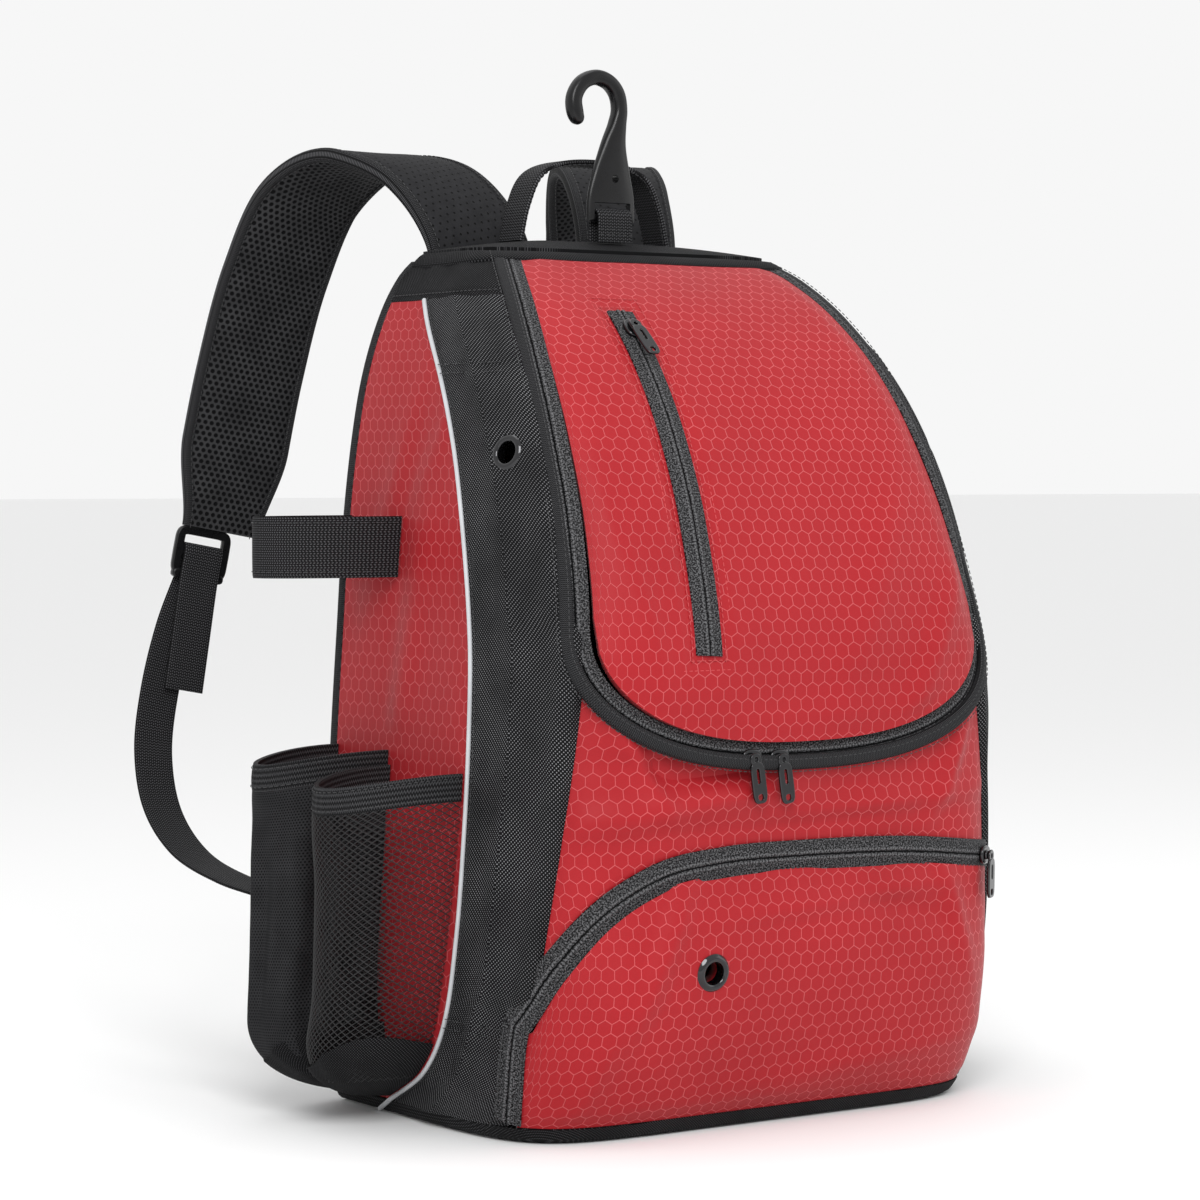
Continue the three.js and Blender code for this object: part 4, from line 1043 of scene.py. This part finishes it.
def make_zip_head(name, x, z, lift, slider_turn, pull_turn):
    angle = front_angle(x, z)
    outward = skin_normal(angle, z)
    up = unit(np.array((0, 0, 1.0)) - outward * outward[2])
    across = np.cross(up, outward)

    def axes(turn):
        c, s = math.cos(turn), math.sin(turn)
        return across * c + up * s, up * c - across * s, outward

    def spot(high):
        return skin(angle, z, lift + high)

    body = plate("slider_body", loop(8.6, 11.4, (0, 0), 0.75), [], 2.6, "metal", 0.8)
    settle(body, spot(2.6), *axes(slider_turn))
    crown = plate("slider_crown", loop(4.2, 8.0, (0, 0), 0.7), [], 1.6, "metal", 0.6)
    settle(crown, spot(4.6), *axes(slider_turn))
    place(joined(f"{name}_slider_metal", [body, crown]), "black_metal", f"{name}_slider")
    ring = plate("pull_ring", loop(6.4, 6.4, (0, -0.6), 0.9),
                 [loop(3.4, 3.6, (0, -0.4), 0.9)], 1.3, "metal", 0.5)
    settle(ring, spot(6.4), *axes(pull_turn))
    blade = plate(
        "pull_blade",
        [(x_, y_ - 12.2) for x_, y_ in loop(8.2, 21.5, (0, -1), 0.45)],
        [loop(4.4, 4.4, (0, -21.0), 0.8), loop(3.0, 9.0, (0, -9.6), 0.5)],
        1.7, "metal", 0.55)
    settle(blade, spot(6.6), *axes(pull_turn))
    place(joined(f"{name}_pull_metal", [ring, blade]), "black_metal", f"{name}_pull")


def make_zip_heads():
    for name, q in (("flap_zip_a", -0.25), ("flap_zip_b", -0.12)):
        z = float(flap_edge(q)) - 2.5
        x = q * float(front_half(z))
        make_zip_head(name, x, z, 0.4, math.pi / 2, 0.14)
    z = float(lower_edge(0.9))
    make_zip_head("lower_zip", 0.9 * float(front_half(z)), z, 1.0, math.pi / 2, 0.02)
    z = CHEST_ZIP_TOP - 11
    make_zip_head("chest_zip", float(chest_side(z)), z, 1.6, 0, 0.06)


def make_eyelet(name, angle, z, lift, flip=False):
    """A plated ring with a rolled rim and a short barrel"""
    centre, outward = skin(angle, z, lift), skin_normal(angle, z)
    side = unit(np.cross((0, 0, 1), outward))
    up = np.cross(outward, side)
    hole, rim = EYELET_HOLE, EYELET_OUTER
    rows = ((hole, -5.5), (hole, 0.4), (hole + 0.4, 1.1), (hole + 1.4, 1.7), (hole + 2.6, 1.6),
            (rim - 1.0, 0.9), (rim, -0.3), (rim - 0.6, -0.8), (hole + 1.0, -0.8), (hole + 0.7, -5.5))
    turn = np.arange(EYELET_SIDES) / EYELET_SIDES * 2 * math.pi
    ring = np.cos(turn)[:, None] * side + np.sin(turn)[:, None] * up
    spots = np.stack([centre + ring * radius + outward * high for radius, high in rows], axis=1)
    at = np.arange(EYELET_SIDES * len(rows)).reshape(EYELET_SIDES, len(rows))
    after, next_ = np.roll(at, -1, axis=0), np.roll(at, -1, axis=1)
    both = np.roll(after, -1, axis=1)
    faces = np.stack([at, next_, both, after], axis=-1).reshape(-1, 4).tolist()
    piece = make_mesh(f"{name}_ring", spots.reshape(-1, 3), faces, "metal", None, flip, 50)
    place(piece, "black_metal", name)


def make_eyelets():
    angle = gusset_place(EYELET_PLACE, EYELET_HEIGHT)
    for name, flip in sides("eyelet"):
        make_eyelet(name, angle, EYELET_HEIGHT, 1.2, flip)
    x, z = POCKET_EYELET
    q = x / float(front_half(z))
    v = (z - WALL_FOOT) / (float(lower_edge(q)) - 6 - WALL_FOOT)
    lift = float(pocket_lift(q, v, x, z, 40.0))
    make_eyelet("eyelet_pocket", front_angle(x, z), z, lift)


for make in (make_flap, make_middle, make_lower_pocket, make_sides, make_gussets, make_piping,
             make_yokes, make_flap_zip, make_lower_zip, make_chest_zip, make_zip_heads, make_eyelets):
    make()


# Top, base and back
GAP = 0.3
TOP_RISE = 9
BACK_CHANNELS = (90, 190, 300)


def top_face(x, y):
    edge = level_point(math.atan2(-y, -x), float(BODY_HEIGHT))
    reach = math.hypot(x, y) / math.hypot(edge[0], edge[1])
    return BODY_HEIGHT + GAP + CLOTH + TOP_RISE * (1 - reach ** 2)


def make_top():
    angle, reach = np.meshgrid(np.linspace(0, math.pi, 121), np.linspace(1, 0.004, 40))
    edge = level_point(angle, BODY_HEIGHT)
    x = edge[..., 0] * reach
    y = (edge[..., 1] + GAP) * reach - GAP
    soft = ripples(x, y, 17, 0.35) * smooth(1, 0.9, reach)
    high = BODY_HEIGHT + GAP + TOP_RISE * (1 - reach ** 2)
    flat = np.stack([x + 150, y + 150], axis=-1)
    outer = np.stack([x, y, high + CLOTH + soft], axis=-1)
    inner = np.stack([x, y, high], axis=-1)
    place(wall("top_panel_cloth", outer, inner, "oxford", flat), "black_cloth", "top_panel")
    line = np.linspace(0.03, math.pi - 0.03, 140)
    path, outward = surface_line(line, np.full(140, BODY_HEIGHT - 3.6), 1.2)
    across = np.cross(outward, directions(path))
    roll = swept("top_binding", path, across, rounded(12, 4.4, 2.6, 20), "oxford")
    place(roll, "black_cloth")


def make_base():
    rows = ((0.004, 0), (0.25, 0), (0.5, 0), (0.75, 0), (0.93, 0), (0.975, 0.3), (0.993, 1.4),
            (1, 3.2), (1, 5), (1, 7), (1, BASE_RIM))
    angle = np.linspace(0, math.pi, 160)
    outer, inner = [], []
    for reach, z in rows:
        outer.append(skin(angle, np.full(160, float(z)), 0.9) * (reach, reach, 1))
        inner.append(skin(angle, np.full(160, max(float(z), 5.0)), -CLOTH) * (reach, reach, 1))
    outer, inner = np.array(outer), np.array(inner)
    flat = np.stack([outer[..., 0] + 250, outer[..., 1] + outer[..., 2] * 2 + 300], axis=-1)
    place(wall("base_cloth", outer, inner, "oxford", flat), "black_cloth", "base")


def make_back():
    u, z = np.meshgrid(np.linspace(1, -1, 90), np.linspace(WALL_FOOT, BODY_HEIGHT, 130))
    x = u * half_width(z)
    edge = np.minimum(smooth(1, 0.93, np.abs(u)), smooth(WALL_FOOT, WALL_FOOT + 14, z)
                      * smooth(BODY_HEIGHT, BODY_HEIGHT - 14, z))
    groove = np.exp(-(x / 9) ** 2)
    for height in BACK_CHANNELS:
        bend = height - 0.0011 * x ** 2
        groove = np.maximum(groove, np.exp(-((z - bend) / 5) ** 2))
    rail = np.exp(-((np.abs(x) - 0.86 * half_width(z)) / 4) ** 2)
    groove = np.maximum(groove, rail)
    y = 4.6 + 5.2 * edge - 4.2 * groove * edge
    outer = np.stack([x, y, z], axis=-1)
    inner = np.stack([x, 0 * x + GAP, z], axis=-1)
    pad = wall("back_panel_pad", outer, inner, "air_mesh", np.stack([x + 200, z], axis=-1))
    place(pad, "black_mesh", "back_panel")
    border = np.linspace(WALL_FOOT + 4, BODY_HEIGHT - 4, 120)
    for name, flip in sides("back_binding"):
        path = np.stack([-half_width(border) + 1.5, 0 * border + 4.4, border], axis=-1)
        across = np.tile((0.0, 1.0, 0.0), (120, 1))
        edging = swept(name, path, across, rounded(7.5, 4.6, 2.6, 14), "binding", None, flip)
        place(edging, "black_mesh")


# Side pockets, their hems and the bat loops
POCKET_FOOT = 12
POCKET_ROUND = 44
HEM_THICK = 2.6
HEM_HEIGHT = 15
POCKET_SAG = 7
SAG_FOOT = 60
POCKET_WIDTH = 165
HEM_STITCHES = 2.4
NET_COLUMNS = 62
NET_ROWS = 84
NET_FOOT = 14
NET_STRAND = 0.9
BAT_LOOP_FOOT = 300
BAT_LOOP_TOP = 334
BAT_LOOP_WIDTH = 160


def pocket_bulge(full, z):
    up = np.clip((z - POCKET_FOOT) / POCKET_ROUND, 0, 1)
    thinnest = HEM_THICK + GAP
    return thinnest + (full - thinnest) * np.sqrt(1 - (1 - up) ** 2)


def sleeve_sides(z):
    return 0.3 + 0 * z, 57.3 + 0 * z


def bottle_sides(z):
    return 57.6 + 0 * z, seam(z) - 2


POCKETS = {
    "bat_sleeve": dict(full=68, top=204, edges=sleeve_sides, boot=46),
    "bottle_pocket": dict(full=66, top=196, edges=bottle_sides, boot=50),
}


def pocket_points(spec, a, z, lift, bulge=None):
    """Points of a pocket's wall: a runs from its back edge to its front one"""
    back, front = spec["edges"](z)
    y = (back + front) / 2 - ((front - back) / 2 + np.minimum(lift, 0)) * np.cos(a)
    out = pocket_bulge(spec["full"], z) if bulge is None else bulge
    out = 0.6 + (out + lift) * np.sin(a)
    return np.stack([-side_face(y, z) - out, -y, z + 0 * y], axis=-1)


def mouth_sag(a, v):
    """How far the cloth hangs down at height share v of a pocket, most at the middle"""
    return -POCKET_SAG * np.sin(a) ** 2 * v ** 3


def pocket_uv(a, z, width):
    return np.stack([a * width / math.pi + 20, z + 0 * a], axis=-1)


def pocket_rows(spec, heights, lift, sag=0, bulge=None):
    """Level rows of stitches round a pocket's wall, for sew"""
    line = np.linspace(0.05, math.pi - 0.05, 80)
    rows = []
    for height in heights:
        level = np.full(80, height)
        path = pocket_points(spec, line, level, lift, bulge and bulge(level))
        path[:, 2] += sag * mouth_sag(line, 1)
        rows.append((path, unit(np.cross(directions(path), (0, 0, 1.0)))))
    return rows


def pocket_hang(a, z, top):
    """How far the cloth under the hem hangs down, from nothing at SAG_FOOT"""
    return mouth_sag(a, np.clip((z - SAG_FOOT) / (top - SAG_FOOT), 0, 1))


def pocket_wall(name, spec, a, z, lifts, hang, look, flip):
    """A closed wall of a pocket's cloth, from its outer and inner lifts"""
    outer, inner = (pocket_points(spec, a, z, lift) for lift in lifts)
    outer[..., 2] += hang
    inner[..., 2] += hang
    return wall(name, outer, inner, look, pocket_uv(a, z, POCKET_WIDTH), flip)


def make_sleeve_cloth(name, spec, top, flip):
    """The sleeve's knitted wall, slack and folded below its hem"""
    rows = POCKET_FOOT + np.linspace(0, 1, 72) ** 1.5 * (top - GAP - POCKET_FOOT)
    a, z = np.meshgrid(np.linspace(0, math.pi, 90), rows)
    up = smooth(POCKET_FOOT, 70, z) * smooth(top, top - 50, z)
    folds = (np.sin(a * 9 + 0.9 * np.sin(z / 41)) + 0.6 * np.sin(a * 17 + 1.3 * np.sin(z / 27))) * 1.1
    loose = -1.2 - 3.0 * smooth(top, 80, z) * smooth(12, 90, z) * (0.6 + 0.4 * np.sin(a * 2))
    lift = (folds * 1.7 + loose) * up
    hang = pocket_hang(a, z, top)
    return pocket_wall(f"{name}_cloth", spec, a, z, (lift, lift - 1.2), hang, "fine_mesh", flip)


def make_boot(name, spec, flip):
    """The stouter cloth round a pocket's foot"""
    a, up = np.meshgrid(np.linspace(0, math.pi, 90), np.linspace(0, 1, 28))
    edge = spec["boot"] + 5 * np.sin(a * 3 + 0.6) - 10 * np.sin(a) ** 4
    z = POCKET_FOOT - 0.5 + up * (edge - POCKET_FOOT + 0.5)
    crumple = 0.9 * np.sin(a * 11 + z / 9) * smooth(14, 30, z)
    lifts = (0.9 + crumple, -1.8 + crumple)
    place(pocket_wall(f"{name}_boot", spec, a, z, lifts, 0, "oxford", flip), "black_mesh")


def make_hem(name, spec, foot, flip):
    """The elastic band round a pocket's mouth, with its stitches"""
    a, z = np.meshgrid(np.linspace(0, math.pi, 110), np.linspace(foot, spec["top"], 9))
    swell = np.sin(np.pi * (z - foot) / HEM_HEIGHT)
    gather = 0.35 * np.sin(a * 46) * swell ** 2
    lifts = (0.7 * swell ** 0.5 + gather, -HEM_THICK)
    band = pocket_wall(f"{name}_band", spec, a, z, lifts, mouth_sag(a, 1), "elastic", flip)
    place(band, "black_webbing", name)
    heights = [foot + rise for rise in (HEM_STITCHES, HEM_HEIGHT - HEM_STITCHES)]
    sew(name, pocket_rows(spec, heights, 1.0, 1), "black_webbing", flip)


def make_pocket(key):
    spec = POCKETS[key]
    hem_foot = spec["top"] - HEM_HEIGHT
    make_body = make_net if key == "bottle_pocket" else make_sleeve_cloth
    for name, flip in sides(key):
        place(make_body(name, spec, hem_foot, flip), "black_mesh", name)
        make_boot(name, spec, flip)
        make_hem(name.replace(key, f"{key}_hem"), spec, hem_foot, flip)


def make_net(name, spec, top, flip):
    """A knitted net of diamond cells, as real strands"""
    columns, rows = NET_COLUMNS, NET_ROWS
    j, i = np.meshgrid(np.arange(rows + 1), np.arange(columns + 1), indexing="ij")
    a = i / columns * math.pi
    z = POCKET_FOOT + NET_FOOT + j / rows * (top - POCKET_FOOT - NET_FOOT)
    up = smooth(POCKET_FOOT, 80, z) * smooth(top, top - 50, z)
    lift = up * (1.4 * np.sin(a * 3 + 0.8 * np.sin(z / 37)) - 3.5)
    spots = pocket_points(spec, a, z, lift)
    spots[..., 2] += pocket_hang(a, z, top)
    spots = spots.reshape(-1, 3)
    at = np.arange((rows + 1) * (columns + 1)).reshape(rows + 1, columns + 1)
    faces = []
    for row in range(1, rows):
        for column in range(1 + (row % 2), columns, 2):
            faces.append((at[row, column - 1], at[row - 1, column],
                          at[row, column + 1], at[row + 1, column]))
    used = np.unique(np.array(faces))
    order = np.full(len(spots), -1)
    order[used] = np.arange(len(used))
    faces = [tuple(int(order[v]) for v in face) for face in faces]
    net = make_mesh(f"{name}_net", spots[used], faces, "net", None, flip)
    strands = net.modifiers.new("strands", "WIREFRAME")
    strands.thickness = NET_STRAND * MM
    strands.use_even_offset = False
    strands.use_boundary = True
    bpy.context.view_layer.objects.active = net
    bpy.ops.object.modifier_apply(modifier=strands.name)
    return net


def make_bat_loops():
    spec = POCKETS["bat_sleeve"]
    heights = np.linspace(BAT_LOOP_FOOT, BAT_LOOP_TOP, 20)
    a, z = np.meshgrid(np.linspace(0, math.pi, 120), heights)

    def bulge(level):
        return spec["full"] + half_width(spec["top"]) - half_width(level)

    edge = np.sin(np.pi * (z - BAT_LOOP_FOOT) / (BAT_LOOP_TOP - BAT_LOOP_FOOT)) ** 0.3
    outer = pocket_points(spec, a, z, 0.5 * edge, bulge(z))
    inner = pocket_points(spec, a, z, -HEM_THICK + 0 * a, bulge(z))
    for name, flip in sides("bat_loop"):
        flat = pocket_uv(a, z, BAT_LOOP_WIDTH)[..., ::-1]
        place(wall(f"{name}_band", outer, inner, "webbing", flat, flip), "black_webbing", name)
        rows = pocket_rows(spec, (BAT_LOOP_FOOT + 3.5, BAT_LOOP_TOP - 3.5), 0.7, bulge=bulge)
        sew(name, rows, "black_webbing", flip)


# Haul loop, hook and its tab
HANDLE_PROFILE = [
    (-1, 0), (-0.9, 0.45), (-0.72, 0.84), (-0.4, 1),
    (0.4, 1), (0.72, 0.84), (0.9, 0.45), (1, 0),
]
HANDLE_HALF = 52
HANDLE_RISE = 46
HANDLE_PLACE = 14
HANDLE_WIDTH = 24
HOOK_PROFILE = [
    (0.000, 0.000, 1.00, 0.55), (0.000, 0.150, 0.98, 0.60), (0.005, 0.320, 0.76, 0.75),
    (0.020, 0.480, 0.50, 0.90), (0.050, 0.620, 0.32, 1.00), (0.065, 0.710, 0.27, 1.00),
    (0.045, 0.810, 0.27, 1.00), (-0.020, 0.880, 0.27, 1.00), (-0.120, 0.905, 0.27, 1.00),
    (-0.220, 0.865, 0.27, 1.00), (-0.280, 0.770, 0.27, 1.00), (-0.270, 0.670, 0.27, 1.00),
    (-0.235, 0.610, 0.20, 0.75),
]
HOOK_REACH = 92
HOOK_WIDTH = 33
HOOK_THICK = 9
HOOK_HOLE = 2.3
TAB_BEND = 4.706
TAB_WIDTH = 24
HOOK_PLACE = 41
HOOK_FOOT = top_face(0, -HOOK_PLACE) + 13


def make_haul_loop():
    foot = GAP + top_face(50.5, -2)
    path = path_through(
        [(s * HANDLE_HALF, -HANDLE_PLACE, foot + u * HANDLE_RISE) for s, u in HANDLE_PROFILE], 120)
    across = np.tile((0.0, 1.0, 0.0), (len(path), 1))
    t = np.linspace(0, 1, len(path))
    gripped = 1 - 0.16 * smooth(0.2, 0.4, t) * smooth(0.8, 0.6, t)
    scale = np.stack([gripped, np.ones(len(path))], axis=1)
    band = swept("haul_loop_band", path, across, band_profile(HANDLE_WIDTH, 3), "webbing", scale)
    place(band, "black_webbing", "haul_loop")
    along = directions(path)
    facing = unit(np.cross(along, across))
    rows = []
    for side in (-10.4, 10.4):
        rows.append((path[2:-2] + across[2:-2] * side - facing[2:-2] * 1.6, -facing[2:-2]))
    for span in (slice(2, 5), slice(-5, -2)):
        middle, out = path[span].mean(axis=0), facing[span].mean(axis=0)
        line = np.linspace(-10, 10, 10)[:, None]
        rows.append((middle + line * (0, 1, 0) - out * 1.6, np.tile(-out, (10, 1))))
    sew("haul_loop", rows, "black_webbing")


def make_hook():
    rows = np.array(HOOK_PROFILE, float)
    rows[:, :2] *= HOOK_REACH
    rows[:, 2] *= HOOK_WIDTH
    rows[:, 3] *= HOOK_THICK
    fine = path_through(rows, 150)
    path = np.stack([fine[:, 0], np.full(151, -HOOK_PLACE), HOOK_FOOT + fine[:, 1]], axis=1)
    along = directions(path)
    across = unit(np.cross((0, 1.0, 0), along))
    end = np.sqrt(1 - np.clip((np.arange(151) - 146) / 4.6, 0, 0.97) ** 2)
    start = np.sqrt(1 - np.clip((3 - np.arange(151)) / 3.6, 0, 0.9) ** 2)
    scale = np.stack([fine[:, 2] * end, fine[:, 3] * end * start], axis=1)
    hook = swept("hook_moulding", path, across, rounded(1, 1, 2.9, 32), "plastic", scale, crease=60)
    slot = np.array([(x, y, z) for x in (-12.6, 12.6) for y in (-60, -20) for z in (4, 11)], float)
    slot[:, 2] += HOOK_FOOT
    faces = [(0, 1, 3, 2), (4, 6, 7, 5), (0, 4, 5, 1), (2, 3, 7, 6), (0, 2, 6, 4), (1, 5, 7, 3)]
    cut(hook, make_mesh("cutter", slot, faces, "plastic"))
    centre = np.array((1.2, -HOOK_PLACE, HOOK_FOOT + 0.27 * HOOK_REACH))
    cut_hole(hook, centre, np.array((0, -1.0, 0)), HOOK_HOLE, 10)
    hook.data.shade_smooth()
    hook.data.set_sharp_from_angle(angle=math.radians(35))
    place(hook, "black_plastic", "hook")


def make_hook_tab():
    bend = TAB_BEND
    middle = HOOK_FOOT + 2
    foot = top_face(0, -HOOK_PLACE + bend + 1) + GAP
    a = np.linspace(0, math.pi, 24)
    turn = np.stack([0 * a, -HOOK_PLACE - bend * np.cos(a), middle + bend * np.sin(a)], axis=1)
    legs = np.linspace(foot, middle, 8)[:-1]
    front = np.stack([0 * legs, np.full(7, -HOOK_PLACE - bend), legs], axis=1)
    back = front[::-1] * (1, 0, 1) + (0, -HOOK_PLACE + bend, 0)
    path = np.vstack([front, turn, back])
    across = np.tile((1.0, 0.0, 0.0), (len(path), 1))
    band = swept("hook_tab_band", path, across, band_profile(TAB_WIDTH, 2), "webbing")
    place(band, "black_webbing", "hook_tab")
    line = np.linspace(-10, 10, 10)
    rows = []
    for height in (4, 7):
        spots = np.stack([line, 0 * line - HOOK_PLACE - bend - 1.1, 0 * line + foot + height], axis=1)
        rows.append((spots, np.tile((0.0, -1.0, 0.0), (10, 1))))
    sew("hook_tab", rows, "black_webbing")


# Shoulder straps
STRAP_PATH = [
    (-0.277, 0.00, 0.830), (-0.289, 0.00, 0.934), (-0.331, 0.05, 1.037), (-0.410, 0.24, 1.108),
    (-0.524, 0.49, 1.127), (-0.627, 0.70, 1.087), (-0.693, 0.85, 0.992), (-0.753, 0.94, 0.871),
    (-0.807, 0.98, 0.757), (-0.855, 0.99, 0.668),
]
WEBBING_PATH = [
    (-1.036, 1.04, 0.544), (-1.108, 1.02, 0.467), (-1.157, 0.975, 0.394), (-1.175, 0.875, 0.328),
    (-1.175, 0.66, 0.278), (-1.145, 0.36, 0.251), (-1.072, 0.14, 0.237), (-0.970, 0.04, 0.218),
    (-0.910, 0.004, 0.191), (-0.910, 0.00, 0.154),
]
STRAP_REACH = 160
STRAP_SEAT = 14.4
WEBBING_SEAT = 9.9
STRAP_WIDTH = 68
STRAP_THICK = 11
WEBBING_WIDTH = 25
WEBBING_THICK = 2
WEBBING_END = 84
WEBBING_TURN = 4.335


def behind(row, seat):
    side, back, up = row
    return (side * BODY_WIDTH / 2, seat + back * STRAP_REACH, up * BODY_HEIGHT)


def strap_line():
    """The pad's path, and its directions along, across and outward"""
    path = path_through([behind(row, STRAP_SEAT) for row in STRAP_PATH], 170)
    t = np.linspace(0, 1, len(path))
    across = np.stack([1 + 0 * t, -0.12 * smooth(0.3, 0.6, t), 0 * t], axis=1)
    along = directions(path)
    facing = unit(np.cross(along, across))
    return path, along, unit(np.cross(facing, along)), facing


def make_strap_pad(name, flip, path, across, facing):
    t = np.linspace(0, 1, len(path))
    wide = STRAP_WIDTH * (1 - 0.28 * smooth(0.88, 1, t))
    thick = STRAP_THICK * (1 - 0.45 * smooth(0.95, 1, t)) * (1 - 0.3 * smooth(0.04, 0, t))
    half = (wide / 2 - 2.6)[:, None]
    pad = swept(f"{name}_foam", path, across, rounded(1, 1, 3.2, 36), ["perforated", "air_mesh"],
                np.stack([wide - 3, thick], axis=1), flip, 80, lambda high: high > 0.12)
    place(pad, "black_cloth", name)
    rims = []
    rows = []
    rim_scale = np.stack([0 * t + 6.4, np.minimum(thick * 0.78, 8.6)], axis=1)
    for hand in (-1, 1):
        rims.append(swept("rim", path + across * half * hand, across, rounded(1, 1, 2.6, 16),
                          "binding", rim_scale, flip))
        line, out = path + across * (half - 1.2) * hand, facing * (thick * 0.40)[:, None]
        rows += [(line - out, -facing), (line + out, facing)]
    place(joined(f"{name}_binding", rims), "black_cloth")
    sew(name, rows, "black_cloth", flip)


def make_webbing(name, flip, middle, down, across, facing):
    """Webbing from its loose end, round the buckle's bar and down to the back's foot"""
    def spot(low, out):
        return middle + down * low + facing * out

    tail = [spot(WEBBING_END, 4.3 + 7), spot(50.4, 4.3 + 3.5), spot(15, 4.3)]
    turn = [spot(-WEBBING_TURN * math.sin(a), WEBBING_TURN * math.cos(a))
            for a in np.linspace(0, math.pi, 9)]
    below = spot(15, -WEBBING_TURN)
    run = path_through([below, *(behind(row, WEBBING_SEAT) for row in WEBBING_PATH)], 220)
    tail_path = path_through([*tail, *turn, below], 90)
    level = np.clip(np.linspace(0, 1, len(run)) / 0.77, 0, 1)
    level = np.concatenate([np.zeros(len(tail_path) - 1), level])[:, None]
    turned = unit(across * (1 - level) + np.array((1.0, 0, 0)) * level)
    band = swept(f"{name}_band", np.vstack([tail_path[:-1], run]), turned,
                 band_profile(WEBBING_WIDTH, WEBBING_THICK), "webbing", None, flip)
    place(band, "black_webbing", name)


def make_buckle(name, flip, middle, down, across, facing):
    slots = [loop(26.2, 9, (0, 6.5), 0.25), loop(26.2, 9, (0, -6.5), 0.25)]
    pieces = [
        plate("buckle_frame", loop(34, 30, (0, 0), 0.35), slots, 4, "plastic", 0.9),
        plate("buckle_lip", loop(31, 4.4, (0, -14.0), 0.5), [], 5.4, "plastic", 1.2),
    ]
    mirror = np.array((-1, 1, 1) if flip else (1, 1, 1))
    for piece in pieces:
        settle(piece, middle * mirror, across * mirror * mirror[0], -down * mirror, facing * mirror)
    place(joined(f"{name}_frame", pieces), "black_plastic", name)


def make_straps():
    path, along, across, facing = strap_line()
    down = along[-1]
    middle = path[-1] + down * 15.3 - across[-1] * 10
    for side, flip in (("left", False), ("right", True)):
        make_strap_pad(f"strap_pad_{side}", flip, path, across, facing)
        make_webbing(f"strap_webbing_{side}", flip, middle, down, across[-1], facing[-1])
        make_buckle(f"strap_buckle_{side}", flip, middle, down, across[-1], facing[-1])


for make in (make_top, make_base, make_back, make_bat_loops, make_haul_loop, make_hook,
             make_hook_tab, make_straps):
    make()
for key in POCKETS:
    make_pocket(key)


# Studio: a white floor, a white world and soft lamps
FLOOR_REACH = 40000
WORLD_STRENGTH = 0.93
LAMPS = [
    dict(name="key", size=(0.8, 1.1), power=26, spot=(-1.0, -1.5, 1.5), aim=(0, 0, 0.25)),
    dict(name="fill", size=(1.0, 1.4), power=4, spot=(1.6, -1.0, 0.9), aim=(0, 0, 0.25)),
    dict(name="top", size=(1.0, 1.0), power=4, spot=(0.1, 0.2, 1.9), aim=(0, 0, 0.2)),
]


def make_lamp(name, size, power, spot, aim):
    data = bpy.data.lights.new(name, "AREA")
    data.shape = "RECTANGLE"
    data.size, data.size_y = size
    data.energy = power
    lamp = bpy.data.objects.new(name, data)
    bpy.context.scene.collection.objects.link(lamp)
    lamp.location = spot
    lamp.rotation_mode = "QUATERNION"
    lamp.rotation_quaternion = (Vector(aim) - Vector(spot)).to_track_quat("-Z", "Y")


def make_studio():
    corners = [(x * FLOOR_REACH, y * FLOOR_REACH, 0) for x, y in ((-1, -1), (1, -1), (1, 1), (-1, 1))]
    floor = make_mesh("floor", corners, [(0, 1, 2, 3)], "floor")
    world = bpy.data.worlds.new("studio")
    bpy.context.scene.world = world
    world.use_nodes = True
    colour, strength = world.node_tree.nodes["Background"].inputs[:2]
    colour.default_value = (1, 1, 1, 1)
    strength.default_value = WORLD_STRENGTH
    for row in LAMPS:
        make_lamp(**row)
    view = bpy.context.scene.view_settings
    view.view_transform = "Standard"
    view.look = "None"


make_studio()
